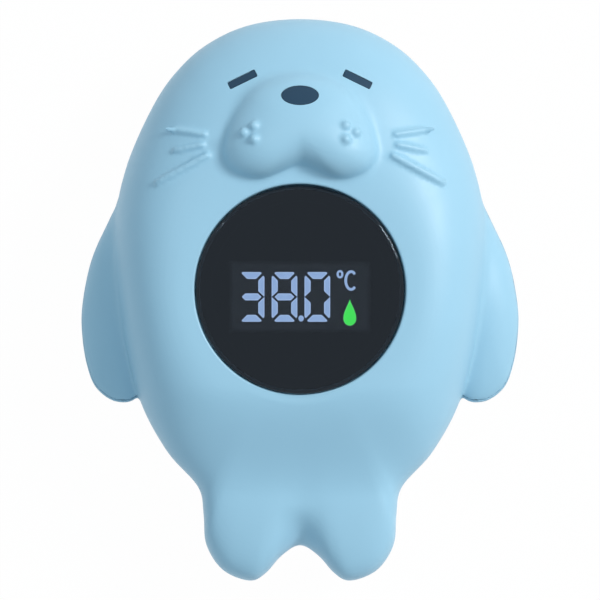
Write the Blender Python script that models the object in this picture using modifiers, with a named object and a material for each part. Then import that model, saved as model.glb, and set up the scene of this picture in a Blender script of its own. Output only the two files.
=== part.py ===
"""Floating bath thermometer shaped as a seal, lying on its back.

The belly and its round display look up along +Z, the head points along +Y and the floor is z = 0. Two moulded
shells hold a numeric light display, a round circuit board, two AAA cells behind a screwed door, and the
temperature probe and water contacts in the back.
"""

import math

import bmesh
import bpy
import numpy as np
from mathutils import Matrix, Vector

MM = 0.001
GAP = 0.3 * MM  # between pieces that seat on each other
SNUG = 0.1 * MM  # round the small marks and light windows
CUT = 5 * MM  # how far a cutter runs past what it cuts
WELD = 0.001 * MM

# Outside form
BODY_LENGTH = 100 * MM
BODY_WIDTH = 66 * MM  # without the flippers
BACK_DEPTH = 15 * MM  # floor to parting plane
BELLY_RISE = 17.2 * MM  # parting plane to the flat ring round the lens
WALL = 2 * MM
FLIPPER_SPAN = 77.8 * MM
FLIPPER_LENGTH = 36.4 * MM
FLIPPER_RISE = 6.4 * MM
FLIPPER_TAPER = 0.35  # share of its thickness that the flipper loses towards its end
FLIPPER_Z = BACK_DEPTH - 0.8 * MM
MUZZLE_RISE = 6 * MM
MUZZLE_SINK = 4 * MM
MUZZLE_SLOPE = 0.62  # share of the rise lost towards the forehead
MUZZLE_BROW = (-0.7, 1.1)  # where it is lost, in half heights above the muzzle's middle
MUZZLE_ROUNDING = 2.4
MUZZLE_VALLEY = 1.9 * MM
MUZZLE_VALLEY_WIDTH = 4.4 * MM
MUZZLE_CLEFT = (-0.1, 0.8)  # where the valley deepens, in half heights below the middle
BELLY_ROUNDING = 2.3  # powers of the front's and the back's quarter profiles
BACK_ROUNDING = 2.6
TAIL_ROUNDING = 4.4
TAIL_THINNING = 0.42  # share of the rise that the tail loses
TAIL = (-0.3, -0.8)  # where it is lost, in half lengths from the middle
TAIL_VALLEY = 3 * MM  # groove between the two tail lobes
TAIL_VALLEY_WIDTH = 2.8 * MM
TAIL_NOTCH = (-0.68, -0.9)  # where the groove deepens, in half lengths from the middle
BACK_THINNING = 0.3
BACK_TAPER = -0.96  # where the back has thinned, in half lengths
PAD_CORNER = 4  # power of the flat pad's outline

# Half outline of head, body and tail: shares of the half width and the half length, from crown to tail notch
BODY_KNOTS = (
    (0, 1), (0.25, 0.982), (0.45, 0.93), (0.62, 0.845), (0.78, 0.705), (0.942, 0.462), (1.0, 0.232),
    (0.970, -0.054), (0.873, -0.338), (0.721, -0.534), (0.55, -0.664), (0.52, -0.76), (0.505, -0.87),
    (0.43, -0.96), (0.279, -1.0), (0.109, -0.932), (0, -0.874),
)
# Flipper outline: share of the way from its root to its tip across, share of the half length along
FLIPPER_KNOTS = (
    (0.468, 1.0), (0.741, 0.643), (0.899, 0.33), (0.993, -0.055), (0.996, -0.33), (0.935, -0.632),
    (0.806, -0.868), (0.532, -1.0), (0.252, -0.923), (0, -0.44), (0.036, 0.275), (0.216, 0.797),
)
FLIPPER_ROOT = 0.76  # in half widths of the body
# Half outline of the muzzle, from the bridge of the nose to the lip, in shares of its half width and height
MUZZLE_KNOTS = (
    (0, 1.0), (0.31, 0.94), (0.58, 0.76), (0.74, 0.505), (0.9, 0.1), (0.98, -0.26), (1.0, -0.54),
    (0.92, -0.79), (0.74, -0.95), (0.51, -1.0), (0.25, -0.81), (0, -0.64),
)
MUZZLE_WIDTH = 28.6 * MM
MUZZLE_HEIGHT = 19.4 * MM
MUZZLE_DROP = 19.5 * MM  # crown to the muzzle's middle

# Face marks and relief, as (distance from the middle line, distance down from the crown)
EYE = (10.2 * MM, 10.9 * MM)
EYE_LENGTH = 5.2 * MM
EYE_WIDTH = 1.2 * MM
EYE_CORNER = 0.12 * MM
EYE_TILT = math.radians(-26)
NOSE_DROP = 13.8 * MM
NOSE_WIDTH = 6.5 * MM
NOSE_HEIGHT = 3.3 * MM
MARK_DEPTH = 0.8 * MM
MARK_SHY = 0.05 * MM  # how far the marks lie under the surface
WHISKER_STEPS = (0, 0.06, 0.5, 0.94, 1)
WHISKER_TAPER = (0.6, 0.95, 1, 0.7, 0.35)
WHISKER_PROUD = 0.14
WHISKERS = (  # inner end, outer end, thickness
    ((16.5 * MM, 20.6 * MM), (24.3 * MM, 19.5 * MM), 1.1 * MM),
    ((16.6 * MM, 22.2 * MM), (22.9 * MM, 23.6 * MM), 1.2 * MM),
    ((15.6 * MM, 23.7 * MM), (25.9 * MM, 29.5 * MM), 1.5 * MM),
)
WHISKER_DOTS = ((8.1 * MM, 19.2 * MM), (9.9 * MM, 20.4 * MM), (8.1 * MM, 21.6 * MM))
DOT_RADIUS = 0.85 * MM

# Numeric display, in the plane of the face
DIGIT_HEIGHT = 9 * MM
DIGIT_WIDTH = 4.65 * MM
DIGIT_PITCH = 5.88 * MM
FIRST_DIGIT_X = -8.5 * MM
SEGMENT_WIDTH = 1.05 * MM
SEGMENT_GAP = 0.32 * MM
POINT_RADIUS = 0.4 * MM
POINT_Y = -3.85 * MM  # from the middle of the digits
UNIT_HEIGHT = 3.6 * MM
UNIT_WIDTH = 2.2 * MM
UNIT_STROKE = 0.5 * MM
UNIT_MOUTH = math.radians(50)  # half the opening of the C
DEGREE_STROKE = 0.35 * MM
UNIT = (9.05 * MM, 2.9 * MM)
DEGREE_RADIUS = 0.65 * MM
DEGREE = (7.2 * MM, 4 * MM)
DROP = (9 * MM, -2.9 * MM)
DROP_HEIGHT = 4.6 * MM
DROP_WIDTH = 2.4 * MM
DROP_FULLNESS = 0.82  # widest value of the drop's formula
DISPLAY_WIDTH = 25 * MM
DISPLAY_MARGIN = 1.75 * MM  # face above and below the digits
DISPLAY_TALL = 7 * MM
DISPLAY_DROP = 1.3 * MM  # digits sit this far below the middle of the lens
DISPLAY_WALL = 1 * MM
DIFFUSER_BASE = 1.2 * MM
DIFFUSER_RISE = 1.2 * MM
DIFFUSER_DROP = 0.2 * MM
WINDOW_GAP = 0.05 * MM
READING = "380"
LIT = {  # figures that light each bar
    "top": "380",
    "upper_right": "380",
    "lower_right": "380",
    "bottom": "380",
    "lower_left": "80",
    "upper_left": "80",
    "middle": "38",
}

# Lens and its seat
LENS_Y = 1.85 * MM
LENS_THICKNESS = 2.4 * MM
LENS_BEVEL = 0.7 * MM
LENS_PROUD = 0.4 * MM
LENS_LEDGE = 3 * MM
LEDGE_THICKNESS = 1.5 * MM
LENS_GASKET = 0.5 * MM
BELLY_RING = 1.4 * MM  # flat ring outside the lens

# Circuit board
BOARD_THICKNESS = 1.6 * MM
POST_RADIUS = 2 * MM
BOARD_SCREW = 0.9 * MM
BOARD_SCREW_LENGTH = 5.2 * MM
BOARD_SCREW_HEAD = 1.7 * MM
CHIP_SIZE = 7 * MM
CHIP_HEIGHT = 1.2 * MM

# Cells, their bay and door
CELL_DIAMETER = 10.5 * MM
CELL_LENGTH = 44.5 * MM
CELL_NUB = 1 * MM
NUB_RADIUS = 1.9 * MM
CELL_EDGE = 0.5 * MM
CELL_SPACE = 0.6 * MM
SPRING_LENGTH = 3.4 * MM
SPRING_WIRE = 0.6 * MM
CONTACT_THICKNESS = 0.4 * MM
BAY_WALL = 1.5 * MM
SEAL_LAND = 3 * MM
SCREW_LAND = 6.2 * MM
DOOR_RECESS = 0.3 * MM
DOOR_THICKNESS = 1.8 * MM
DOOR_LIP = 2.2 * MM
DOOR_LIP_WALL = 1.2 * MM
DOOR_LIP_CORNER = 2.1 * MM
DOOR_GASKET_WIDTH = 1.2 * MM
DOOR_GASKET = 0.8 * MM
DOOR_CORNER = 9 * MM
PAD_SIDE = 6.6 * MM  # flat beside and past the door
PAD_END = 2.4 * MM
DOOR_SCREW = 0.9 * MM
DOOR_SCREW_HEAD = 1.8 * MM
DOOR_HEAD_HEIGHT = 0.8 * MM
DOOR_SCREW_SEAT = 1.5 * MM
DOOR_SCREW_LENGTH = 8 * MM
TRAY_WALL = 2 * MM
TRAY_LOW = 1.3 * MM  # inside the back wall
GRIP_RIBS = 5
GRIP_PITCH = 2.4 * MM
GRIP_WIDTH = 12 * MM
GRIP_GROOVE = 0.6 * MM
CONTACT_WIDTH = 8 * MM
CONTACT_HEIGHT = 8 * MM
TAB_WIDTH = 2.5 * MM
TAB_THICKNESS = 0.36 * MM
TAB_PROUD = 1.5 * MM
SPRING_TURNS = 3
SPRING_STEPS = 8
SPRING_TIP = 2 * MM
SPRING_BASE = 3.4 * MM

# Housing screws and joint
HEAD_SCREW = (19.3 * MM, 2.15 * MM)  # from the middle line, and short of the door's end
TAIL_SCREW = (9.9 * MM, 4.55 * MM)  # from the middle line, and past the door's end
SCREW_SHANK = 1.4 * MM
SCREW_HEAD = 2.7 * MM
SCREW_HEAD_HEIGHT = 1.8 * MM
SCREW_LENGTH = 12 * MM
SOCKET_SHARE = 0.4
SOCKET_DEPTH = 0.5
PAN_SHARE = 0.8
SCREW_SEAT = 8 * MM  # floor to the shoulder under the head
BOSS_WALL = 0.9 * MM
SHELL_GASKET = 1.1 * MM
SHELL_GASKET_TALL = 2.4 * MM
RIM_LIP = 0.8 * MM

# Probe and water contacts
PROBE_CLEAR = 4.45 * MM  # past the door's end
PROBE_RADIUS = 2.1 * MM
PROBE_FLANGE = 2.9 * MM
PROBE_WALL = 0.4 * MM
SEAL_WIRE = 0.6 * MM
CONTACT_PIN = (17.4 * MM, -17 * MM)
PIN_HEAD = 1.6 * MM
PIN_SHANK = 0.9 * MM
PIN_LENGTH = 6 * MM
PIN_SEAT = 1.2 * MM
PIN_HEAD_HEIGHT = 0.7 * MM
PROBE_SEAT = 2.6 * MM
PROBE_COLLAR = 2.5 * MM
PROBE_DOME = 0.6 * MM
PROBE_TIP = 0.12 * MM  # its dome just clears the floor
DOME_STEPS = 3
SENSOR_RADIUS = 1.1 * MM
SENSOR_LENGTH = 3 * MM
WIRE = 0.9 * MM

# Facets
SPOKES = 66
BODY_RINGS = 7
MUZZLE_SPOKES = 28
MUZZLE_RINGS = 5
FLIPPER_SPOKES = 18
FLIPPER_RINGS = 4
LENS_SIDES = 36
HOLE_SIDES = 12
SCREW_SIDES = 8
SMALL_SIDES = 14
MARK_SIDES = 10

PARTING = BACK_DEPTH
CROWN = BODY_LENGTH / 2
MUZZLE_Y = CROWN - MUZZLE_DROP
BELLY = BACK_DEPTH + BELLY_RISE
LENS_MIDDLE = (0, LENS_Y)
DISPLAY_HEIGHT = DIGIT_HEIGHT + 2 * DISPLAY_MARGIN
DISPLAY_Y = LENS_Y - DISPLAY_DROP
OPENING = math.hypot(DISPLAY_WIDTH / 2, DISPLAY_HEIGHT / 2 + DISPLAY_DROP) + 3 * GAP
LENS_RADIUS = OPENING + LENS_LEDGE
BELLY_FLAT = LENS_RADIUS + GAP + BELLY_RING
LEDGE = BELLY + LENS_PROUD - LENS_THICKNESS - LENS_GASKET - 2 * GAP
LENS_BOTTOM = BELLY + LENS_PROUD - LENS_THICKNESS
DISPLAY_FACE = LENS_BOTTOM - GAP
BOARD_TOP = DISPLAY_FACE - DISPLAY_TALL - GAP
BOARD_BOTTOM = BOARD_TOP - BOARD_THICKNESS
POST_RING = (OPENING + BELLY_FLAT) / 2
BOARD_RADIUS = POST_RING + POST_RADIUS + GAP

BAY_WIDTH = 2 * CELL_DIAMETER + CELL_SPACE + 2 * GAP
BAY_LENGTH = CELL_LENGTH + SPRING_LENGTH + 2 * CONTACT_THICKNESS + 4 * GAP
DOOR_WIDTH = BAY_WIDTH + 2 * SEAL_LAND
DOOR_LENGTH = BAY_LENGTH + 2 * SCREW_LAND
DOOR_TOP = DOOR_RECESS + DOOR_THICKNESS
DOOR_LEDGE = DOOR_TOP + DOOR_GASKET + 2 * GAP
LIP_TOP = DOOR_TOP + DOOR_LIP
CELL_Z = LIP_TOP + GAP + CELL_DIAMETER / 2
BAY_ROOF = CELL_Z + CELL_DIAMETER / 2 + GAP
PAD_HALF_WIDTH = DOOR_WIDTH / 2 + PAD_SIDE
PAD_HALF_LENGTH = DOOR_LENGTH / 2 + PAD_END
PROBE = (0, -DOOR_LENGTH / 2 - PROBE_CLEAR)
CELL_X = (CELL_DIAMETER + CELL_SPACE) / 2
CONTACT_Y = BAY_LENGTH / 2 - GAP - CONTACT_THICKNESS / 2
CELL_SHIFT = CONTACT_Y - CONTACT_THICKNESS / 2 - GAP - CELL_LENGTH / 2
TAB_TOP = BAY_ROOF + BAY_WALL + TAB_PROUD
TAB_PLACES = ((-CELL_X, -CONTACT_Y), (CELL_X, -CONTACT_Y))
PROBE_FLANGE_Z = PROBE_SEAT + SEAL_WIRE + 2 * SNUG


def clear_scene():
    for old in list(bpy.data.objects):
        bpy.data.objects.remove(old, do_unlink=True)


def new_collection(name):
    collection = bpy.data.collections.new(name)
    bpy.context.scene.collection.children.link(collection)
    return collection


clear_scene()
PARTS = new_collection("bath_thermometer")
CUTTERS = new_collection("cutters")


# Curves and profiles


def mirrored(half):
    """Closed outline from a half outline that starts and ends on the middle line."""
    return half + [(-x, y) for x, y in reversed(half[1:-1])]


def smooth_loop(knots, count):
    """Even points along a closed Catmull-Rom curve through the knots."""
    knots = np.array(knots, dtype=float)
    before, after, beyond = np.roll(knots, 1, 0), np.roll(knots, -1, 0), np.roll(knots, -2, 0)
    steps = np.linspace(0, 1, 24, endpoint=False)[:, None, None]
    bend = (after - before) * steps + (2 * before - 5 * knots + 4 * after - beyond) * steps**2
    dense = knots + (bend + (3 * knots - before - 3 * after + beyond) * steps**3) / 2
    dense = dense.transpose(1, 0, 2).reshape(-1, 2)
    closed = np.vstack([dense, dense[:1]])
    along = np.concatenate([[0], np.cumsum(np.hypot(*np.diff(closed, axis=0).T))])
    marks = np.linspace(0, along[-1], count, endpoint=False)
    return np.stack([np.interp(marks, along, closed[:, axis]) for axis in (0, 1)], axis=1)


def grown(points, distance):
    """Outline with each side moved outwards."""
    points = np.array(points, dtype=float)
    ahead = np.roll(points, -1, 0)
    turn = math.copysign(1, np.sum(points[:, 0] * ahead[:, 1] - points[:, 1] * ahead[:, 0]))
    run = (ahead - points) / np.hypot(*(ahead - points).T)[:, None]
    outward = turn * np.stack([run[:, 1], -run[:, 0]], axis=1)
    before = np.roll(outward, 1, 0)
    mitre = (outward + before) / (1 + np.sum(outward * before, axis=1))[:, None]
    return points + mitre * distance


def inset(points, distance):
    return grown(points, -distance)


def circle(radius, sides, middle=(0, 0)):
    turns = [2 * math.pi * index / sides for index in range(sides)]
    return [(middle[0] + radius * math.cos(turn), middle[1] + radius * math.sin(turn)) for turn in turns]


def rounded_rectangle(width, length, corner, steps=5):
    points = []
    for quarter, (side, end) in enumerate(((1, 1), (-1, 1), (-1, -1), (1, -1))):
        for step in range(steps + 1):
            turn = math.pi / 2 * (quarter + step / steps)
            x = side * (width / 2 - corner) + corner * math.cos(turn)
            y = end * (length / 2 - corner) + corner * math.sin(turn)
            points.append((x, y))
    return points


def ramp(value, start, end):
    share = np.clip((value - start) / (end - start), 0, 1)
    return share * share * (3 - 2 * share)


class Reach:
    """How far an outline lies from its middle in each direction."""

    def __init__(self, outline, middle):
        self.outline = outline
        self.middle = np.array(middle)
        spokes = outline - self.middle
        angles = np.arctan2(spokes[:, 1], spokes[:, 0])
        order = np.argsort(angles)
        self.angles, self.radii = angles[order], np.hypot(*spokes.T)[order]

    def at(self, x, y):
        """Distance from the middle, and the outline's distance the same way."""
        offset = np.array([x, y]) - self.middle
        limit = np.interp(math.atan2(offset[1], offset[0]), self.angles, self.radii, period=2 * math.pi)
        return math.hypot(*offset), float(limit)


# The outside form

body_half = [(x * BODY_WIDTH / 2, y * BODY_LENGTH / 2) for x, y in BODY_KNOTS]
body_outline = smooth_loop(mirrored(body_half), SPOKES)
belly_middle = np.array([0, LENS_Y])
tail = [CROWN * share for share in TAIL]
notch = [CROWN * share for share in TAIL_NOTCH]
muzzle_half = [(x * MUZZLE_WIDTH / 2, MUZZLE_Y + y * MUZZLE_HEIGHT / 2) for x, y in MUZZLE_KNOTS]
muzzle_outline = smooth_loop(mirrored(muzzle_half), MUZZLE_SPOKES)
muzzle_reach = Reach(muzzle_outline, (0, MUZZLE_Y))
belly_reach = Reach(body_outline, belly_middle)


def front_height(x, y, share, depth=0):
    """Height above the parting plane at a share of the way from the belly's flat ring to the outline."""
    share = min(max(share, 0), 1)
    power = BELLY_ROUNDING + (TAIL_ROUNDING - BELLY_ROUNDING) * ramp(y, *tail)
    crest = BELLY_RISE * (1 - TAIL_THINNING * ramp(y, *tail)) - depth
    valley = TAIL_VALLEY * math.exp(-((x / TAIL_VALLEY_WIDTH) ** 2)) * ramp(y, *notch)
    return (crest - valley) * (1 - share**power) ** (1 / power)


def back_depth(y, share, depth=0):
    """Depth below the parting plane at a share of the way from the pad's edge to the outline."""
    fall = BACK_DEPTH * (1 - BACK_THINNING * ramp(y, -PAD_HALF_LENGTH, BACK_TAPER * CROWN)) - depth
    return fall * (1 - share**BACK_ROUNDING) ** (1 / BACK_ROUNDING)


def belly_top(x, y):
    distance, limit = belly_reach.at(x, y)
    return PARTING + front_height(x, y, (distance - BELLY_FLAT) / (limit - BELLY_FLAT))


def muzzle_top(x, y):
    distance, limit = muzzle_reach.at(x, y)
    share = min(distance / limit, 1)
    up = (y - MUZZLE_Y) / (MUZZLE_HEIGHT / 2)
    rise = MUZZLE_RISE * (1 - MUZZLE_SLOPE * ramp(up, *MUZZLE_BROW))
    valley = MUZZLE_VALLEY * math.exp(-((x / MUZZLE_VALLEY_WIDTH) ** 2)) * ramp(-up, *MUZZLE_CLEFT)
    dome = (1 - share**MUZZLE_ROUNDING) ** (1 / MUZZLE_ROUNDING)
    return BELLY - MUZZLE_SINK + (MUZZLE_SINK + rise - valley) * dome


def face_top(x, y):
    return max(belly_top(x, y), muzzle_top(x, y))


def pad_reach(direction):
    across, along = direction[0] / PAD_HALF_WIDTH, direction[1] / PAD_HALF_LENGTH
    return (abs(across) ** PAD_CORNER + abs(along) ** PAD_CORNER) ** (-1 / PAD_CORNER)


def shaped_sphere(name, collection, spokes, rings, place):
    """A sphere whose vertices are moved: place(spoke, ring, front) gives a place, ring 0 is a pole."""
    bm = bmesh.new()
    bmesh.ops.create_uvsphere(bm, u_segments=spokes, v_segments=2 * rings, radius=1)
    for vertex in bm.verts:
        x, y, z = vertex.co
        spoke = round(-math.atan2(y, x) / (2 * math.pi) * spokes) % spokes
        ring = round(math.acos(min(1, abs(z))) / (math.pi / 2) * rings)
        vertex.co = place(spoke, ring, z > -1e-6)
    return finish_mesh(name, bm, collection)


def finish_mesh(name, bm, collection):
    bmesh.ops.recalc_face_normals(bm, faces=bm.faces)
    if bm.calc_volume(signed=True) < 0:
        bmesh.ops.reverse_faces(bm, faces=bm.faces)
    mesh = bpy.data.meshes.new(name)
    bm.to_mesh(mesh)
    bm.free()
    piece = bpy.data.objects.new(name, mesh)
    collection.objects.link(piece)
    if collection is CUTTERS:
        piece.hide_render = True
        piece.display_type = "WIRE"
    return piece


def body_form(name, collection, depth=0, step=1):
    """The body without muzzle and flippers, shrunk by a depth all over."""
    outline = inset(body_outline, depth)[::step]
    rings = (BODY_RINGS + step - 1) // step

    def place(spoke, ring, front):
        edge = outline[spoke]
        turn = math.pi / 2 * (ring - 1) / (rings - 1)
        if front:
            middle, power = belly_middle, BELLY_ROUNDING
            direction = edge - middle
            flat = middle + direction / np.hypot(*direction) * BELLY_FLAT
        else:
            middle, power = np.zeros(2), BACK_ROUNDING
            flat = edge * pad_reach(edge)
        if ring == 0:
            share, spot = 0, middle
        else:
            share = math.sin(turn) ** (2 / power) if ring < rings else 1
            spot = flat + (edge - flat) * share
        x, y = spot
        if front:
            return Vector((x, y, PARTING + front_height(x, y, share, depth)))
        return Vector((x, y, PARTING - back_depth(y, share, depth)))

    return shaped_sphere(name, collection, len(outline), rings, place)


def muzzle_form(name):
    def place(spoke, ring, front):
        share = math.sin(math.pi / 2 * ring / MUZZLE_RINGS) ** (2 / MUZZLE_ROUNDING)
        x, y = muzzle_reach.middle + (muzzle_outline[spoke] - muzzle_reach.middle) * share
        if front:
            return Vector((x, y, muzzle_top(x, y)))
        sunk = 2 * MUZZLE_SINK * (1 - share**MUZZLE_ROUNDING) ** (1 / MUZZLE_ROUNDING)
        return Vector((x, y, BELLY - MUZZLE_SINK - sunk))

    return shaped_sphere(name, CUTTERS, MUZZLE_SPOKES, MUZZLE_RINGS, place)


def flipper_form(name, side):
    root = FLIPPER_ROOT * BODY_WIDTH / 2
    reach = FLIPPER_SPAN / 2 - root
    knots = [(root + x * reach, y * FLIPPER_LENGTH / 2) for x, y in FLIPPER_KNOTS]
    outline = smooth_loop(knots, FLIPPER_SPOKES)
    middle = np.array([root + reach / 2, 0])

    def place(spoke, ring, front):
        turn = math.pi / 2 * ring / FLIPPER_RINGS
        x, y = middle + (outline[spoke] - middle) * math.sin(turn)
        plump = 1 - FLIPPER_TAPER * ramp(-y, -FLIPPER_LENGTH / 2, FLIPPER_LENGTH / 2)
        rise = FLIPPER_RISE * plump * math.cos(turn)
        return Vector((side * x, y, FLIPPER_Z + (rise if front else -rise)))

    return shaped_sphere(name, CUTTERS, FLIPPER_SPOKES, FLIPPER_RINGS, place)


# Making pieces


def to_mesh(piece, name, collection):
    """Replace a curve or a modified object by its mesh, welded and in place."""
    depsgraph = bpy.context.evaluated_depsgraph_get()
    mesh = bpy.data.meshes.new_from_object(piece.evaluated_get(depsgraph), depsgraph=depsgraph)
    bm = bmesh.new()
    bm.from_mesh(mesh)
    bm.transform(piece.matrix_world)
    bmesh.ops.remove_doubles(bm, verts=bm.verts, dist=1e-6)
    bpy.data.meshes.remove(mesh)
    bpy.data.objects.remove(piece, do_unlink=True)
    return finish_mesh(name, bm, collection)


def plate(name, loops, low, high, collection=PARTS):
    """A flat outline, with holes where more loops are given, between two heights."""
    curve = bpy.data.curves.new(name, "CURVE")
    curve.dimensions = "2D"
    curve.fill_mode = "BOTH"
    curve.extrude = (high - low) / 2
    for loop in loops:
        spline = curve.splines.new("POLY")
        spline.points.add(len(loop) - 1)
        for point, (x, y) in zip(spline.points, loop):
            point.co = (x, y, 0, 1)
        spline.use_cyclic_u = True
    outline = bpy.data.objects.new(name, curve)
    outline.location.z = (low + high) / 2
    PARTS.objects.link(outline)
    bpy.context.view_layer.update()
    return to_mesh(outline, name, collection)


def turned(name, profile, at=(0, 0), sides=SMALL_SIDES, collection=PARTS):
    """A profile of (radius, height), top to bottom along its outer side, turned about an upright axis."""
    mesh = bpy.data.meshes.new(name)
    corners = [(radius, 0, height) for radius, height in profile]
    mesh.from_pydata(corners, [(index, index + 1) for index in range(len(corners) - 1)], [])
    piece = bpy.data.objects.new(name, mesh)
    piece.location = (*at, 0)
    PARTS.objects.link(piece)
    screw = piece.modifiers.new("turn", "SCREW")
    screw.steps = screw.render_steps = sides
    screw.use_merge_vertices = True
    screw.merge_threshold = 1e-6
    bpy.context.view_layer.update()
    return to_mesh(piece, name, collection)


def cylinder(name, radius, low, high, at=(0, 0), sides=HOLE_SIDES, collection=CUTTERS):
    return turned(name, [(0, high), (radius, high), (radius, low), (0, low)], at, sides, collection)


def box(name, size, middle, collection=CUTTERS):
    bm = bmesh.new()
    bmesh.ops.create_cube(bm, size=1)
    bmesh.ops.scale(bm, vec=size, verts=bm.verts)
    bmesh.ops.translate(bm, vec=middle, verts=bm.verts)
    return finish_mesh(name, bm, collection)


def rod(name, points, thickness, collection=PARTS, taper=None):
    """A round wire through points; taper gives the share of the thickness at each."""
    curve = bpy.data.curves.new(name, "CURVE")
    curve.dimensions = "3D"
    curve.bevel_depth = thickness / 2
    curve.bevel_resolution = 1
    curve.use_fill_caps = True
    spline = curve.splines.new("POLY")
    spline.points.add(len(points) - 1)
    for index, (point, place) in enumerate(zip(spline.points, points)):
        point.co = (*place, 1)
        point.radius = taper[index] if taper else 1
    wire = bpy.data.objects.new(name, curve)
    PARTS.objects.link(wire)
    bpy.context.view_layer.update()
    return to_mesh(wire, name, collection)


def smooth_route(knots, count):
    """Points along a soft curve through a few route points."""
    knots = [Vector(knot) for knot in knots]
    ends = [2 * knots[0] - knots[1], *knots, 2 * knots[-1] - knots[-2]]
    points = []
    for before, start, end, beyond in zip(ends, ends[1:], ends[2:], ends[3:]):
        for step in range(count):
            share = step / count
            bend = (end - before) * share + (2 * before - 5 * start + 4 * end - beyond) * share**2
            points.append(start + (bend + (3 * start - before - 3 * end + beyond) * share**3) / 2)
    return points + [knots[-1]]


def use(piece, tool, operation="DIFFERENCE"):
    modifier = piece.modifiers.new(tool.name, "BOOLEAN")
    modifier.operation = operation
    modifier.solver = "EXACT"
    modifier.object = tool
    return piece


def weld(piece):
    """Merge the hair-thin steps that the cuts leave."""
    modifier = piece.modifiers.new("weld", "WELD")
    modifier.merge_threshold = WELD
    return piece


def stepped_hole(name, wide, seat, narrow, low, high, at, sides=HOLE_SIDES):
    """Cutter for a screw or pin: wide up to its seat, narrow beyond it."""
    profile = [(0, high), (narrow, high), (narrow, seat), (wide, seat), (wide, low), (0, low)]
    return turned(name, profile, at, sides, CUTTERS)


def material(name, colour, roughness=0.5, metallic=0.0, alpha=1.0):
    finish = bpy.data.materials.new(name)
    finish.use_nodes = True
    shader = finish.node_tree.nodes["Principled BSDF"]
    shader.inputs["Base Color"].default_value = (*colour, 1)
    shader.inputs["Roughness"].default_value = roughness
    shader.inputs["Metallic"].default_value = metallic
    shader.inputs["Alpha"].default_value = alpha
    return finish


def dress(piece, finish):
    piece.data.materials.clear()
    piece.data.materials.append(finish)
    piece.data.shade_smooth()
    piece.data.set_sharp_from_angle(angle=math.radians(35))
    return piece


blue_plastic = material("blue_plastic", (0.42, 0.66, 0.82), 0.45)
slate_plastic = material("slate_plastic", (0.035, 0.07, 0.11), 0.5)
smoked_acrylic = material("smoked_acrylic", (0.02, 0.025, 0.03), 0.08, alpha=0.5)
black_plastic = material("black_plastic", (0.015, 0.016, 0.018), 0.6)
light_guide = material("light_guide", (0.45, 0.6, 0.9), 0.5)
green_guide = material("green_guide", (0.07, 0.8, 0.12), 0.5)
silicone = material("silicone", (0.75, 0.78, 0.8), 0.7)
board_green = material("board_green", (0.02, 0.2, 0.08), 0.5)
steel = material("steel", (0.7, 0.7, 0.7), 0.3, 1.0)
cell_wrap = material("cell_wrap", (0.12, 0.13, 0.15), 0.4)
red_cover = material("red_cover", (0.6, 0.03, 0.03), 0.5)
black_cover = material("black_cover", (0.02, 0.02, 0.02), 0.5)

SIDES = (("left", -1), ("right", 1))
SCREW_PLACES = [(side * HEAD_SCREW[0], DOOR_LENGTH / 2 - HEAD_SCREW[1]) for _, side in SIDES]
SCREW_PLACES += [(side * TAIL_SCREW[0], -DOOR_LENGTH / 2 - TAIL_SCREW[1]) for _, side in SIDES]
POST_PLACES = [
    (POST_RING * math.cos(turn), LENS_Y + POST_RING * math.sin(turn))
    for turn in (math.pi / 4 + math.pi / 2 * quarter for quarter in range(4))
]


# Front shell


def whisker(name, inner, outer, thickness):
    points = []
    for share in WHISKER_STEPS:
        x = inner[0] + (outer[0] - inner[0]) * share
        y = inner[1] + (outer[1] - inner[1]) * share
        points.append((x, y, face_top(abs(x), y) + thickness * WHISKER_PROUD))
    return rod(name, points, thickness, CUTTERS, taper=WHISKER_TAPER)


def dot(name, x, y):
    bm = bmesh.new()
    place = Matrix.Translation((x, y, face_top(x, y)))
    bmesh.ops.create_uvsphere(bm, u_segments=SCREW_SIDES, v_segments=5, radius=DOT_RADIUS, matrix=place)
    return finish_mesh(name, bm, CUTTERS)


def marks():
    """Outlines of the eyes and the nose, grown by a distance."""

    def eye(side, grow):
        turn = math.cos(side * EYE_TILT), math.sin(side * EYE_TILT)
        bar = rounded_rectangle(EYE_LENGTH + 2 * grow, EYE_WIDTH + 2 * grow, EYE_CORNER + grow, 1)
        across, along = side * EYE[0], CROWN - EYE[1]
        return [(across + x * turn[0] - y * turn[1], along + x * turn[1] + y * turn[0]) for x, y in bar]

    def nose(grow):
        wide, tall = NOSE_WIDTH / 2 + grow, NOSE_HEIGHT / 2 + grow
        return [(wide * x, CROWN - NOSE_DROP + tall * y) for x, y in circle(1, 20)]

    return {
        "eye_left": lambda grow: eye(-1, grow),
        "eye_right": lambda grow: eye(1, grow),
        "nose": nose,
    }


def mark_floor(outline):
    return min(face_top(x, y) for x, y in outline) - MARK_DEPTH


def face_skin(name, drop):
    """The head's and muzzle's outer surface, lowered, to give an inlay the same top."""
    skin = body_form(name, CUTTERS)
    use(skin, muzzle_form(name + "_muzzle"), "UNION")
    skin.location.z = -drop
    return skin


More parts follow.
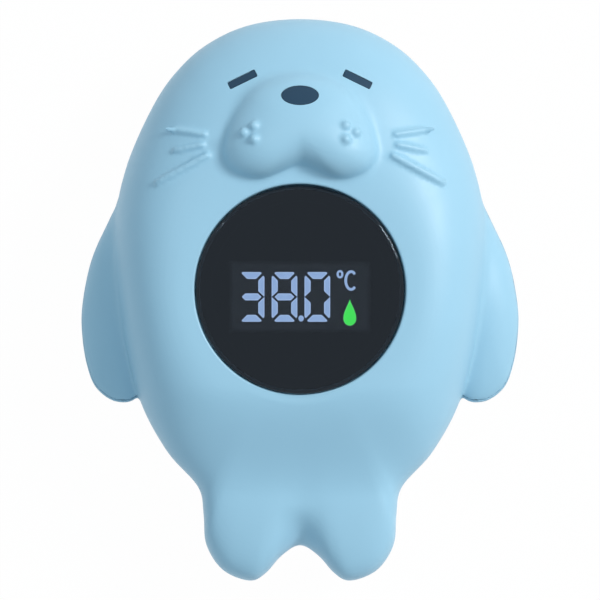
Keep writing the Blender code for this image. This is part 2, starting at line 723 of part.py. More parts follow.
def front_shell():
    shell = body_form("front_shell", PARTS)
    use(shell, muzzle_form("muzzle"), "UNION")
    use(shell, body_form("front_hollow", CUTTERS, WALL, 2))
    core = body_form("front_core", CUTTERS, WALL / 2, 2)
    for name, side in SIDES:
        use(shell, use(flipper_form(f"front_flipper_{name}", side), core), "UNION")
        for index, (inner, outer, thickness) in enumerate(WHISKERS):
            ends = [(side * across, CROWN - down) for across, down in (inner, outer)]
            use(shell, whisker(f"whisker_{name}_{index}", *ends, thickness), "UNION")
        for index, (across, down) in enumerate(WHISKER_DOTS):
            use(shell, dot(f"dot_{name}_{index}", side * across, CROWN - down), "UNION")
    use(shell, box("front_half", (1, 1, 1), (0, 0, PARTING + GAP / 2 - 0.5)))
    rebate_top = PARTING + SHELL_GASKET_TALL / 2 + GAP
    use(shell, plate("front_rebate", [inset(body_outline, RIM_LIP)], PARTING - CUT, rebate_top, CUTTERS))
    cup_radius, cup_low = LENS_RADIUS + GAP + WALL, LEDGE - LEDGE_THICKNESS
    use(shell, cylinder("seat_cup", cup_radius, cup_low, BELLY - WALL / 2, LENS_MIDDLE, LENS_SIDES), "UNION")
    for index, place in enumerate(POST_PLACES):
        post_high = cup_low + LEDGE_THICKNESS / 2
        use(shell, cylinder(f"post_{index}", POST_RADIUS, BOARD_TOP + GAP, post_high, place), "UNION")
    for index, place in enumerate(SCREW_PLACES):
        boss = cylinder(f"front_boss_{index}", SCREW_SHANK + GAP + BOSS_WALL, PARTING + GAP / 2, BELLY, place)
        use(shell, use(boss, core, "INTERSECT"), "UNION")
        pilot_top = SCREW_SEAT + SCREW_LENGTH + GAP
        use(shell, cylinder(f"pilot_{index}", SCREW_SHANK + GAP, PARTING - CUT, pilot_top, place))
    for index, place in enumerate(POST_PLACES):
        tip = BOARD_BOTTOM + BOARD_SCREW_LENGTH
        use(shell, cylinder(f"post_hole_{index}", BOARD_SCREW + SNUG, BOARD_BOTTOM, tip, place, SCREW_SIDES))
    use(shell, cylinder("lens_seat", LENS_RADIUS + GAP, LEDGE, BELLY + CUT, LENS_MIDDLE, LENS_SIDES))
    use(shell, cylinder("display_opening", OPENING, LEDGE - CUT, BELLY + CUT, LENS_MIDDLE, LENS_SIDES))
    for name, outline in marks().items():
        low = mark_floor(outline(0)) - SNUG
        use(shell, plate(name + "_pocket", [outline(SNUG)], low, BELLY + 2 * CUT, CUTTERS))
    return dress(weld(shell), blue_plastic)


def inlays():
    skin = face_skin("face_skin", MARK_SHY)
    for name, outline in marks().items():
        inlay = plate(name, [outline(0)], mark_floor(outline(0)), BELLY + 2 * CUT)
        use(inlay, skin, "INTERSECT")
        dress(inlay, slate_plastic)


# Back shell

DOOR_OUTLINE = rounded_rectangle(DOOR_WIDTH, DOOR_LENGTH, DOOR_CORNER)
DOOR_OPENING = rounded_rectangle(DOOR_WIDTH + 2 * GAP, DOOR_LENGTH + 2 * GAP, DOOR_CORNER + GAP)
DOOR_SCREW_PLACES = [(0, side * (BAY_LENGTH + SCREW_LAND + DOOR_GASKET_WIDTH) / 2) for _, side in SIDES]
PIN_PLACES = {name: (side * CONTACT_PIN[0], CONTACT_PIN[1]) for name, side in SIDES}


def back_shell():
    shell = body_form("back_shell", PARTS)
    use(shell, body_form("back_hollow", CUTTERS, WALL, 2))
    core = body_form("back_core", CUTTERS, WALL / 2, 2)
    for name, side in SIDES:
        use(shell, use(flipper_form(f"back_flipper_{name}", side), core), "UNION")
    use(shell, box("back_half", (1, 1, 1), (0, 0, PARTING - GAP / 2 + 0.5)))
    rebate_floor = PARTING - SHELL_GASKET_TALL / 2 - GAP
    use(shell, plate("back_rebate", [inset(body_outline, RIM_LIP)], rebate_floor, PARTING + CUT, CUTTERS))
    tray = rounded_rectangle(DOOR_WIDTH + 2 * BAY_WALL, DOOR_LENGTH + 2 * BAY_WALL, DOOR_CORNER + BAY_WALL)
    use(shell, plate("tray", [tray], TRAY_LOW, DOOR_LEDGE + TRAY_WALL, CUTTERS), "UNION")
    housing = (BAY_WIDTH + 2 * BAY_WALL, BAY_LENGTH + 2 * BAY_WALL, BAY_ROOF + BAY_WALL - DOOR_LEDGE)
    use(shell, box("bay_housing", housing, (0, 0, DOOR_LEDGE + housing[2] / 2)), "UNION")
    for index, place in enumerate(SCREW_PLACES):
        boss = cylinder(f"back_boss_{index}", SCREW_HEAD + GAP + BOSS_WALL, 0, PARTING - GAP / 2, place)
        use(shell, use(boss, core, "INTERSECT"), "UNION")
    for index, place in enumerate(DOOR_SCREW_PLACES):
        top = DOOR_SCREW_SEAT + DOOR_SCREW_LENGTH + GAP
        radius = DOOR_SCREW + GAP + BOSS_WALL
        use(shell, cylinder(f"door_boss_{index}", radius, DOOR_LEDGE + SNUG, top + BOSS_WALL, place), "UNION")
        use(shell, cylinder(f"door_pilot_{index}", DOOR_SCREW + SNUG, -CUT, top, place, SCREW_SIDES))
    wide, narrow = PROBE_FLANGE + GAP, PROBE_RADIUS + GAP
    collar = cylinder("probe_collar", wide + BOSS_WALL, 0, PROBE_SEAT + PROBE_COLLAR, PROBE)
    use(shell, use(collar, core, "INTERSECT"), "UNION")
    use(shell, stepped_hole("probe_hole", wide, PROBE_SEAT, narrow, PARTING, -CUT, PROBE))
    for name, place in PIN_PLACES.items():
        wide, narrow = PIN_HEAD + GAP, PIN_SHANK + SNUG
        use(shell, stepped_hole(f"pin_hole_{name}", wide, PIN_SEAT, narrow, -CUT, BACK_DEPTH / 2, place))
    for index, place in enumerate(SCREW_PLACES):
        wide, narrow = SCREW_HEAD + GAP, SCREW_SHANK + GAP
        use(shell, stepped_hole(f"screw_hole_{index}", wide, SCREW_SEAT, narrow, -CUT, PARTING + CUT, place))
    use(shell, plate("door_recess", [DOOR_OPENING], -CUT, DOOR_LEDGE, CUTTERS))
    use(shell, box("bay", (BAY_WIDTH, BAY_LENGTH, BAY_ROOF), (0, 0, BAY_ROOF / 2)))
    for index, place in enumerate(TAB_PLACES):
        slot = (TAB_WIDTH + 2 * GAP, CONTACT_THICKNESS + GAP, 2 * CUT)
        use(shell, box(f"tab_slot_{index}", slot, (*place, BAY_ROOF + slot[2] / 2 - GAP)))
    return dress(weld(shell), blue_plastic)


def shell_gasket():
    outer = inset(body_outline, RIM_LIP + GAP)
    inner = inset(body_outline, RIM_LIP + GAP + SHELL_GASKET)
    low, high = PARTING - SHELL_GASKET_TALL / 2, PARTING + SHELL_GASKET_TALL / 2
    dress(plate("shell_gasket", [outer, inner], low, high), silicone)


def screw(name, place, seat, sizes):
    """Pan-head screw: the head's flat lies on its seat and the shank runs up from it."""
    shank, length, head, head_height = sizes
    socket = head * SOCKET_SHARE
    floor = head_height * (SOCKET_DEPTH - 1)
    tip = [(0, length), (shank / 2, length), (shank, length - shank), (shank, 0)]
    pan = [(head, 0), (head, -head_height / 2), (head * PAN_SHARE, -head_height)]
    recess = [(socket, -head_height), (socket, floor), (0, floor)]
    profile = [(radius, seat + height) for radius, height in tip + pan + recess]
    return dress(turned(name, profile, place, SCREW_SIDES), steel)


def screws():
    sizes = (SCREW_SHANK, SCREW_LENGTH, SCREW_HEAD, SCREW_HEAD_HEIGHT)
    for index, place in enumerate(SCREW_PLACES):
        screw(f"housing_screw_{index + 1}", place, SCREW_SEAT - GAP, sizes)
    sizes = (BOARD_SCREW, BOARD_SCREW_LENGTH - GAP, BOARD_SCREW_HEAD, BOARD_SCREW_HEAD / 2)
    for index, place in enumerate(POST_PLACES):
        screw(f"board_screw_{index + 1}", place, BOARD_BOTTOM - GAP, sizes)
    sizes = (DOOR_SCREW, DOOR_SCREW_LENGTH, DOOR_SCREW_HEAD, DOOR_HEAD_HEIGHT)
    for index, place in enumerate(DOOR_SCREW_PLACES):
        screw(f"door_screw_{index + 1}", place, DOOR_SCREW_SEAT - GAP, sizes)


# Door and cells


def battery_door():
    door = plate("battery_door", [DOOR_OUTLINE], DOOR_RECESS, DOOR_TOP)
    lip = []
    for wall in (0, DOOR_LIP_WALL):
        shrink = 2 * (GAP + wall)
        lip.append(rounded_rectangle(BAY_WIDTH - shrink, BAY_LENGTH - shrink, DOOR_LIP_CORNER - wall, 2))
    use(door, plate("door_lip", lip, DOOR_TOP - DOOR_THICKNESS / 3, LIP_TOP, CUTTERS), "UNION")
    for index, place in enumerate(DOOR_SCREW_PLACES):
        wide, narrow = DOOR_SCREW_HEAD + GAP, DOOR_SCREW + GAP
        use(door, stepped_hole(f"door_hole_{index}", wide, DOOR_SCREW_SEAT, narrow, -CUT, CUT, place))
    for index in range(GRIP_RIBS):
        y = GRIP_PITCH * (index - (GRIP_RIBS - 1) / 2)
        groove = (GRIP_WIDTH, GRIP_GROOVE, 2 * GRIP_GROOVE)
        use(door, box(f"grip_{index}", groove, (0, y, DOOR_RECESS)))
    dress(door, blue_plastic)
    rings = []
    for grow in (DOOR_GASKET_WIDTH, 0):
        room = 2 * (grow + SNUG)
        rings.append(rounded_rectangle(BAY_WIDTH + room, BAY_LENGTH + room, 2 * BAY_WALL + grow, 3))
    low = DOOR_TOP + GAP
    dress(plate("door_gasket", rings, low, low + DOOR_GASKET), silicone)


def cells():
    end = CELL_LENGTH / 2
    shoulder = end - CELL_NUB
    radius = CELL_DIAMETER / 2
    nub = [(0, end), (NUB_RADIUS, end), (NUB_RADIUS, shoulder)]
    can = [(radius - CELL_EDGE, shoulder), (radius, shoulder - CELL_EDGE), (radius, CELL_EDGE - end)]
    for name, side in SIDES:
        cell = turned(f"battery_{name}", [*nub, *can, (radius - CELL_EDGE, -end), (0, -end)])
        turn = Matrix.Rotation(side * math.pi / 2, 4, "X")
        cell.data.transform(Matrix.Translation((side * CELL_X, -side * CELL_SHIFT, CELL_Z)) @ turn)
        dress(cell, cell_wrap)
        spring(name, side)
    bridge = (2 * CELL_X + CONTACT_WIDTH, CONTACT_THICKNESS, CONTACT_HEIGHT)
    dress(box("bridge_plate", bridge, (0, CONTACT_Y, CELL_Z), PARTS), steel)
    for name, side in SIDES:
        x, y = side * CELL_X, -CONTACT_Y
        flat = (CONTACT_WIDTH, CONTACT_THICKNESS, CONTACT_HEIGHT)
        terminal = box(f"terminal_{name}", flat, (x, y, CELL_Z), PARTS)
        tab_low = CELL_Z + CONTACT_HEIGHT / 2 - CONTACT_THICKNESS
        tab = (TAB_WIDTH, TAB_THICKNESS, TAB_TOP - tab_low)
        use(terminal, box(f"tab_{name}", tab, (x, y, (TAB_TOP + tab_low) / 2)), "UNION")
        dress(terminal, steel)


def spring(name, side):
    """Conical coil between a cell's flat end and its contact."""
    start = side * (CELL_LENGTH / 2 - CELL_SHIFT + GAP + SPRING_WIRE / 2)
    end = side * (CONTACT_Y - CONTACT_THICKNESS / 2 - GAP - SPRING_WIRE / 2)
    points = []
    count = SPRING_TURNS * SPRING_STEPS
    for step in range(count + 1):
        share = step / count
        turn = 2 * math.pi * step / SPRING_STEPS
        radius = SPRING_TIP + (SPRING_BASE - SPRING_TIP) * share
        x = side * CELL_X + radius * math.cos(turn)
        points.append((x, start + (end - start) * share, CELL_Z + radius * math.sin(turn)))
    dress(rod(f"battery_spring_{name}", points, SPRING_WIRE), steel)


# Display and board


def display():
    low, high = DISPLAY_FACE - DISPLAY_TALL, DISPLAY_FACE
    middle = (0, DISPLAY_Y)
    size = (DISPLAY_WIDTH, DISPLAY_HEIGHT, DISPLAY_TALL)
    housing = box("display_housing", size, (*middle, (low + high) / 2), PARTS)
    guide_top = high - DIFFUSER_DROP
    guide_floor = guide_top - DIFFUSER_RISE
    roof = guide_floor + GAP
    wide, tall = DISPLAY_WIDTH - 2 * DISPLAY_WALL, DISPLAY_HEIGHT - 2 * DISPLAY_WALL
    deep = roof - low + CUT
    use(housing, box("display_pocket", (wide, tall, deep), (*middle, roof - deep / 2)))
    base = (wide - 2 * GAP, tall - 2 * GAP, DIFFUSER_BASE)
    guide = box("segment_guide", base, (*middle, guide_floor - DIFFUSER_BASE / 2), PARTS)
    overlap = DIFFUSER_BASE / 2
    for name, loops in lit_shapes().items():
        window = grown(loops[0], WINDOW_GAP)
        use(guide, plate(name, loops, guide_floor - overlap, guide_top, CUTTERS), "UNION")
        use(housing, plate(name + "_window", [window], guide_floor - overlap, high + CUT, CUTTERS))
    drop = drop_outline()
    for piece, grow in ((guide, 2 * WINDOW_GAP), (housing, WINDOW_GAP)):
        cutter = plate("drop_window", [grown(drop, grow)], guide_floor - CUT, high + CUT, CUTTERS)
        use(piece, cutter)
    dress(plate("drop_guide", [drop], guide_floor - DIFFUSER_BASE, guide_top), green_guide)
    dress(guide, light_guide)
    dress(housing, black_plastic)


def digit_segments(middle):
    """The seven mitred bars of a digit."""
    wide, tall, bar = DIGIT_WIDTH / 2, DIGIT_HEIGHT / 2, SEGMENT_WIDTH
    end = wide - SEGMENT_GAP
    top = [(-end, tall), (end, tall), (end - bar, tall - bar), (bar - end, tall - bar)]
    outer = [(wide, tall - SEGMENT_GAP), (wide, SEGMENT_GAP / 2)]
    inner = [(wide - bar, (SEGMENT_GAP + bar) / 2), (wide - bar, tall - SEGMENT_GAP - bar)]
    tip = wide - bar / 4 - SEGMENT_GAP
    flat = tip - bar / 2
    centre = [(-tip, 0), (-flat, bar / 2), (flat, bar / 2), (tip, 0), (flat, -bar / 2), (-flat, -bar / 2)]
    bars = {
        "top": (top, 1, 1),
        "bottom": (top, 1, -1),
        "middle": (centre, 1, 1),
        "upper_right": (outer + inner, 1, 1),
        "lower_right": (outer + inner, 1, -1),
        "upper_left": (outer + inner, -1, 1),
        "lower_left": (outer + inner, -1, -1),
    }
    return {
        name: [(middle[0] + flip * x, middle[1] + turn * y) for x, y in shape]
        for name, (shape, flip, turn) in bars.items()
    }


def unit_letter():
    """The C of the scale: a band along most of an ellipse."""
    turns = np.linspace(UNIT_MOUTH, 2 * math.pi - UNIT_MOUTH, MARK_SIDES)
    band = []
    for shrink, run in ((0, turns), (UNIT_STROKE, turns[::-1])):
        for turn in run:
            x = (UNIT_WIDTH / 2 - shrink) * math.cos(turn)
            y = (UNIT_HEIGHT / 2 - shrink) * math.sin(turn)
            band.append((UNIT[0] + x, DISPLAY_Y + UNIT[1] + y))
    return band


def lit_shapes():
    shapes = {}
    for index, digit in enumerate(READING):
        middle = (FIRST_DIGIT_X + DIGIT_PITCH * index, DISPLAY_Y)
        for name, outline in digit_segments(middle).items():
            if digit in LIT[name]:
                shapes[f"digit_{index}_{name}"] = [outline]
    point_x = FIRST_DIGIT_X + DIGIT_PITCH * (len(READING) - 1.5)
    shapes["point"] = [circle(POINT_RADIUS, MARK_SIDES, (point_x, DISPLAY_Y + POINT_Y))]
    degree = (DEGREE[0], DISPLAY_Y + DEGREE[1])
    rings = (DEGREE_RADIUS, DEGREE_RADIUS - DEGREE_STROKE)
    shapes["degree"] = [circle(radius, MARK_SIDES, degree) for radius in rings]
    shapes["unit"] = [unit_letter()]
    return shapes


def drop_outline():
    points = []
    for turn in np.linspace(0, 2 * math.pi, SMALL_SIDES, endpoint=False):
        x = DROP_WIDTH / 2 * math.sin(turn) * math.sin(turn / 2) ** 1.5 / DROP_FULLNESS
        points.append((DROP[0] + x, DISPLAY_Y + DROP[1] + DROP_HEIGHT / 2 * math.cos(turn)))
    return points


def board():
    disc = cylinder("circuit_board", BOARD_RADIUS, BOARD_BOTTOM, BOARD_TOP, LENS_MIDDLE, LENS_SIDES, PARTS)
    radius, low, high = BOARD_SCREW + GAP, BOARD_BOTTOM - CUT, BOARD_TOP + CUT
    for index, place in enumerate(POST_PLACES):
        use(disc, cylinder(f"board_hole_{index}", radius, low, high, place, SCREW_SIDES))
    dress(disc, board_green)
    top = BOARD_BOTTOM - GAP
    place = (*LENS_MIDDLE, top - CHIP_HEIGHT / 2)
    chip = box("controller_chip", (CHIP_SIZE, CHIP_SIZE, CHIP_HEIGHT), place, PARTS)
    dress(chip, black_plastic)


def lens():
    top = BELLY + LENS_PROUD
    bevel = [(LENS_RADIUS - LENS_BEVEL, top), (LENS_RADIUS, top - LENS_BEVEL)]
    profile = [(0, top), *bevel, (LENS_RADIUS, LENS_BOTTOM), (0, LENS_BOTTOM)]
    dress(turned("display_lens", profile, LENS_MIDDLE, LENS_SIDES), smoked_acrylic)
    rings = [circle(radius, LENS_SIDES, LENS_MIDDLE) for radius in (LENS_RADIUS - GAP, OPENING + GAP)]
    dress(plate("lens_gasket", rings, LEDGE + GAP, LEDGE + GAP + LENS_GASKET), silicone)


# Probe, water contacts and wires


def probe():
    inner = PROBE_RADIUS - PROBE_WALL
    top = PROBE_FLANGE_Z + PROBE_WALL
    inside = [(0, PROBE_TIP + PROBE_WALL), (inner, PROBE_TIP + PROBE_DOME + PROBE_WALL), (inner, top)]
    rim = [(PROBE_FLANGE, top), (PROBE_FLANGE, PROBE_FLANGE_Z), (PROBE_RADIUS, PROBE_FLANGE_Z)]
    dome = []
    for x, y in circle(1, 4 * DOME_STEPS)[: DOME_STEPS + 1]:
        dome.append((PROBE_RADIUS * x, PROBE_TIP + PROBE_DOME * (1 - y)))
    dress(turned("probe_cap", inside + rim + dome, PROBE), steel)
    middle = ((PROBE_RADIUS + PROBE_FLANGE) / 2 + GAP, PROBE_SEAT + SNUG + SEAL_WIRE / 2)
    ring = circle(SEAL_WIRE / 2, 6, middle)[::-1]
    dress(turned("probe_seal", ring + ring[:1], PROBE), silicone)
    low = PROBE_TIP + PROBE_DOME + PROBE_WALL + GAP
    high = low + SENSOR_LENGTH
    wide, edge = SENSOR_RADIUS, SENSOR_RADIUS / 2
    bead = [(0, high), (edge, high), (wide, high - edge), (wide, low + edge), (edge, low), (0, low)]
    dress(turned("probe_sensor", bead, PROBE), black_plastic)
    return high


def water_pins():
    head = PIN_SEAT - GAP
    low = head - PIN_HEAD_HEIGHT
    shank = [(0, PIN_LENGTH), (PIN_SHANK, PIN_LENGTH), (PIN_SHANK, head)]
    dome = [(PIN_HEAD, head), (PIN_HEAD, head - PIN_HEAD_HEIGHT / 2), (PIN_HEAD / 2, low), (0, low)]
    for name, place in PIN_PLACES.items():
        dress(turned(f"water_contact_{name}", shank + dome, place, HOLE_SIDES), steel)


def wires(sensor_top):
    end = BOARD_BOTTOM - GAP - WIRE / 2
    for (name, side), cover in zip(SIDES, (black_cover, red_cover)):
        x, y = side * CELL_X, -CONTACT_Y
        start = TAB_TOP + GAP + WIRE / 2
        route = [(x, y, start), (x, y + 4 * WIRE, (start + end) / 2), (x, y + 9 * WIRE, end)]
        dress(rod(f"battery_wire_{name}", smooth_route(route, 4), WIRE), cover)
        x = side * WIRE * 0.8
        roof = BAY_ROOF + BAY_WALL + 2 * WIRE
        route = [(x, PROBE[1], sensor_top + GAP), (x, PROBE[1], PARTING), (x, -CONTACT_Y - 6 * WIRE, roof)]
        route += [(x, -CONTACT_Y, roof), (x, -CONTACT_Y + 9 * WIRE, end)]
        dress(rod(f"sensor_wire_{name}", smooth_route(route, 4), WIRE), cover)
        x, y = PIN_PLACES[name]
        reach = side * (POST_RING + POST_RADIUS) / math.sqrt(2)
        route = [(x, y, PIN_LENGTH + GAP + WIRE / 2), (x, y, PARTING - 2 * WIRE), (reach, y * 0.5, end)]
        dress(rod(f"contact_wire_{name}", smooth_route(route, 5), WIRE), cover)


front_shell()
inlays()
lens()
display()
board()
back_shell()
shell_gasket()
battery_door()
cells()
screws()
sensor_top = probe()
water_pins()
wires(sensor_top)
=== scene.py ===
import bpy
import bmesh
import math
import numpy as np
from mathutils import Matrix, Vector


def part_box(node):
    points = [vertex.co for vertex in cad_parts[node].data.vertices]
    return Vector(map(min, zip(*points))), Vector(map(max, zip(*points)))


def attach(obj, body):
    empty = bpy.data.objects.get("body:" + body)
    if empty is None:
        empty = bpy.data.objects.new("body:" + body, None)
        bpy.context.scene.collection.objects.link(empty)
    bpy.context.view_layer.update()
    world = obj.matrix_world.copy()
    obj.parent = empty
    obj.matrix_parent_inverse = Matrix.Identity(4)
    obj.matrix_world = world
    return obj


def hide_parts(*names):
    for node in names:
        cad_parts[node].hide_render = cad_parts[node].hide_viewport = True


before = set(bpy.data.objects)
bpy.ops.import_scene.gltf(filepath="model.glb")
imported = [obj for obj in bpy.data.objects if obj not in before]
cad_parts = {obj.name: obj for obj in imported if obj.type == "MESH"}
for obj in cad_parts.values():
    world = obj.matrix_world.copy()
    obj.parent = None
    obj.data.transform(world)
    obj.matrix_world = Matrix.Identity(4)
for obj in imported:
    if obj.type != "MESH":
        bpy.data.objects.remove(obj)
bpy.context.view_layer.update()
mm = 0.001

# the CAD nodes give the places of the pieces, and the lens its size
lensLow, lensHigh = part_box("display_lens")
lensRadius = (lensHigh[0] - lensLow[0]) / 2
lensY = (lensHigh[1] + lensLow[1]) / 2
partingZ = 15 * mm
gapZ = 0.15 * mm    # half the gap between the shells
through = 5 * mm    # how far a cutter runs past what it cuts
curveSteps = 24     # points between two knots of an outline


def deselectAll():
    bpy.ops.object.select_all(action="DESELECT")


def pick(obj):
    deselectAll()
    obj.select_set(True)
    bpy.context.view_layer.objects.active = obj


def named(name):
    obj = bpy.context.active_object
    obj.name = obj.data.name = name
    return obj


def settle(obj):
    # puts the object's place, turn and size into its mesh
    pick(obj)
    bpy.ops.object.transform_apply(location=True, rotation=True, scale=True)
    return obj


def addModifier(obj, kind, apply=True, **settings):
    modifier = obj.modifiers.new(kind.lower(), kind)
    for key, value in settings.items():
        setattr(modifier, key, value)
    if apply:
        pick(obj)
        bpy.ops.object.modifier_apply(modifier=modifier.name)
    return modifier


def combine(obj, tool, how="DIFFERENCE"):
    addModifier(obj, "BOOLEAN", operation=how, solver="EXACT", object=tool)
    bpy.data.objects.remove(tool, do_unlink=True)
    return obj


def joinAll(objects):
    deselectAll()
    for obj in objects:
        obj.select_set(True)
    bpy.context.view_layer.objects.active = objects[0]
    bpy.ops.object.join()
    return bpy.context.active_object


def smoothShade(obj, angle=30):
    pick(obj)
    bpy.ops.object.shade_smooth_by_angle(angle=math.radians(angle))


def weld(obj, distance=1e-6):
    pick(obj)
    bpy.ops.object.mode_set(mode="EDIT")
    bpy.ops.mesh.select_all(action="SELECT")
    bpy.ops.mesh.remove_doubles(threshold=distance)
    bpy.ops.mesh.normals_make_consistent(inside=False)
    bpy.ops.object.mode_set(mode="OBJECT")


# outlines: closed Catmull-Rom curves through a few knots

def smoothLoop(knots, count):
    knots = np.array(knots, dtype=float)
    before, after, beyond = np.roll(knots, 1, 0), np.roll(knots, -1, 0), np.roll(knots, -2, 0)
    t = np.linspace(0, 1, curveSteps, endpoint=False)[:, None, None]
    dense = knots + ((after - before) * t + (2 * before - 5 * knots + 4 * after - beyond) * t**2
                     + (3 * knots - before - 3 * after + beyond) * t**3) / 2
    dense = dense.transpose(1, 0, 2).reshape(-1, 2)
    closed = np.vstack([dense, dense[:1]])
    along = np.concatenate([[0], np.cumsum(np.hypot(*np.diff(closed, axis=0).T))])
    marks = np.linspace(0, along[-1], count, endpoint=False)
    return np.stack([np.interp(marks, along, closed[:, axis]) for axis in (0, 1)], axis=1)


def mirrored(half):
    return half + [(-x, y) for x, y in reversed(half[1:-1])]


def shrunk(points, distance):
    run = np.roll(points, -1, 0) - np.roll(points, 1, 0)
    inward = np.stack([run[:, 1], -run[:, 0]], axis=1) / np.hypot(*run.T)[:, None]
    return points + inward * distance


def ramp(value, start, end):
    share = np.clip((value - start) / (end - start), 0, 1)
    return share * share * (3 - 2 * share)


def reachTo(outline, middle, x, y):
    # distance from a middle, and how far its outline lies the same way
    spokes = outline - middle
    angles = np.arctan2(spokes[:, 1], spokes[:, 0])
    order = np.argsort(angles)
    limit = np.interp(np.arctan2(y - middle[1], x - middle[0]), angles[order], np.hypot(*spokes.T)[order],
                      period=2 * math.pi)
    return np.hypot(x - middle[0], y - middle[1]), limit


def formFromSphere(name, spokes, rings, place):
    # a sphere whose vertices are moved by place(spoke, share of the way to the rim, isFront)
    deselectAll()
    bpy.ops.mesh.primitive_uv_sphere_add(segments=spokes, ring_count=2 * rings, radius=1)
    obj = named(name)
    co = np.empty(len(obj.data.vertices) * 3)
    obj.data.vertices.foreach_get("co", co)
    co = co.reshape(-1, 3)
    spoke = np.rint(-np.arctan2(co[:, 1], co[:, 0]) / (2 * math.pi) * spokes).astype(int) % spokes
    turn = np.rint(np.arccos(np.clip(np.abs(co[:, 2]), 0, 1)) / (math.pi / 2) * rings) / rings
    co = np.stack(place(spoke, turn, co[:, 2] > -1e-6), axis=1)
    obj.data.vertices.foreach_set("co", co.ravel())
    obj.data.update()
    weld(obj, 1e-7)
    return obj


# the seal's own form

seal = {
    "halfWidth": 33 * mm, "halfLength": 49.98 * mm, "backDepth": 15 * mm, "bellyRise": 17.2 * mm,
    "bellyPower": 2.3, "backPower": 2.6, "flatRing": 1.4 * mm, "wall": 2 * mm,
    "knots": [(0, 1), (0.25, 0.982), (0.45, 0.93), (0.62, 0.845), (0.78, 0.705), (0.942, 0.462), (1.0, 0.232),
              (0.970, -0.054), (0.873, -0.338), (0.721, -0.534), (0.55, -0.664), (0.52, -0.76), (0.505, -0.87),
              (0.415, -0.961), (0.27, -0.999), (0.185, -0.972), (0.1, -0.91), (0, -0.872)],
    "spokes": 288, "rings": 60, "hollow": (96, 14), "voxel": 0.345 * mm,
}
tail = {
    "root": -15 * mm, "tip": -35 * mm, "power": 4.4, "thinning": 0.42, "valley": 3 * mm, "valleyWidth": 2.6 * mm,
    "notchRoot": -36.5 * mm, "notchTip": -44.5 * mm, "backThinning": 0.3, "backTip": -48 * mm,
}
pad = {"halfWidth": 20.7 * mm, "halfLength": 33.55 * mm, "power": 4}
bodyHalf = [(x * seal["halfWidth"], y * seal["halfLength"]) for x, y in seal["knots"]]
bodyOutline = smoothLoop(mirrored(bodyHalf), seal["spokes"])
bellyMiddle = np.array([0, lensY])
bellyFlat = lensRadius + 0.3 * mm + seal["flatRing"]
bellyZ = partingZ + seal["bellyRise"]


def frontHeight(x, y, share, depth=0):
    share = np.clip(share, 0, 1)
    thin = ramp(y, tail["root"], tail["tip"])
    power = seal["bellyPower"] + (tail["power"] - seal["bellyPower"]) * thin
    crest = seal["bellyRise"] * (1 - tail["thinning"] * thin) - depth
    valley = tail["valley"] * np.exp(-((x / tail["valleyWidth"]) ** 2)) * ramp(y, tail["notchRoot"], tail["notchTip"])
    return (crest - valley) * (1 - share**power) ** (1 / power)


def bellyTop(x, y):
    distance, limit = reachTo(bodyOutline, bellyMiddle, x, y)
    return partingZ + frontHeight(x, y, (distance - bellyFlat) / (limit - bellyFlat))


def bodyForm(name, spokes, rings, depth=0, frontDepth=None, backDepth=None):
    outline = shrunk(bodyOutline, depth)[:: len(bodyOutline) // spokes]
    frontDepth = depth if frontDepth is None else frontDepth
    backDepth = depth if backDepth is None else backDepth

    def place(spoke, turn, isFront):
        edge = outline[spoke]
        toEdge = edge - bellyMiddle
        frontFlat = bellyMiddle + toEdge / np.hypot(*toEdge.T)[:, None] * bellyFlat
        across, along = np.abs(edge[:, 0]) / pad["halfWidth"], np.abs(edge[:, 1]) / pad["halfLength"]
        backFlat = edge * ((across ** pad["power"] + along ** pad["power"]) ** (-1 / pad["power"]))[:, None]
        flat = np.where(isFront[:, None], frontFlat, backFlat)
        middle = np.where(isFront[:, None], bellyMiddle, np.zeros(2))
        power = np.where(isFront, seal["bellyPower"], seal["backPower"])
        angle = np.clip((turn * rings - 1) / (rings - 1), 0, 1) * math.pi / 2
        share = np.where(turn > 0.999, 1, np.sin(angle) ** (2 / power))
        spot = flat + (edge - flat) * share[:, None]
        spot = np.where((turn < 1e-6)[:, None], middle, spot)
        x, y = spot.T
        thin = tail["backThinning"] * ramp(y, -pad["halfLength"], tail["backTip"])
        fall = (seal["backDepth"] * (1 - thin) - backDepth) * (1 - share**power) ** (1 / power)
        z = partingZ + np.where(isFront, frontHeight(x, y, share, frontDepth), -fall)
        return x, y, z

    return formFromSphere(name, spokes, rings, place)


muzzle = {
    "halfWidth": 14.3 * mm, "halfHeight": 9.7 * mm, "y": 30.5 * mm, "rise": 6 * mm, "sink": 4 * mm,
    "slope": 0.62, "brow": (-0.7, 1.1), "power": 2.4, "valley": 1.9 * mm, "valleyWidth": 5.2 * mm,
    "cleft": (-0.1, 0.9), "spokes": 160, "rings": 36,
    "knots": [(0, 1.0), (0.31, 0.94), (0.58, 0.76), (0.74, 0.505), (0.9, 0.1), (0.98, -0.26), (1.0, -0.54),
              (0.92, -0.79), (0.74, -0.95), (0.51, -1.0), (0.25, -0.88), (0, -0.76)],
}
muzzleMiddle = np.array([0, muzzle["y"]])
muzzleHalf = [(x * muzzle["halfWidth"], muzzle["y"] + y * muzzle["halfHeight"]) for x, y in muzzle["knots"]]
muzzleOutline = smoothLoop(mirrored(muzzleHalf), muzzle["spokes"])


def muzzleTop(x, y):
    distance, limit = reachTo(muzzleOutline, muzzleMiddle, x, y)
    share = np.minimum(distance / limit, 1)
    up = (y - muzzle["y"]) / muzzle["halfHeight"]
    rise = muzzle["rise"] * (1 - muzzle["slope"] * ramp(up, *muzzle["brow"]))
    valley = muzzle["valley"] * np.exp(-((x / muzzle["valleyWidth"]) ** 2)) * ramp(-up, *muzzle["cleft"])
    dome = (1 - share ** muzzle["power"]) ** (1 / muzzle["power"])
    return bellyZ - muzzle["sink"] + (muzzle["sink"] + rise - valley) * dome


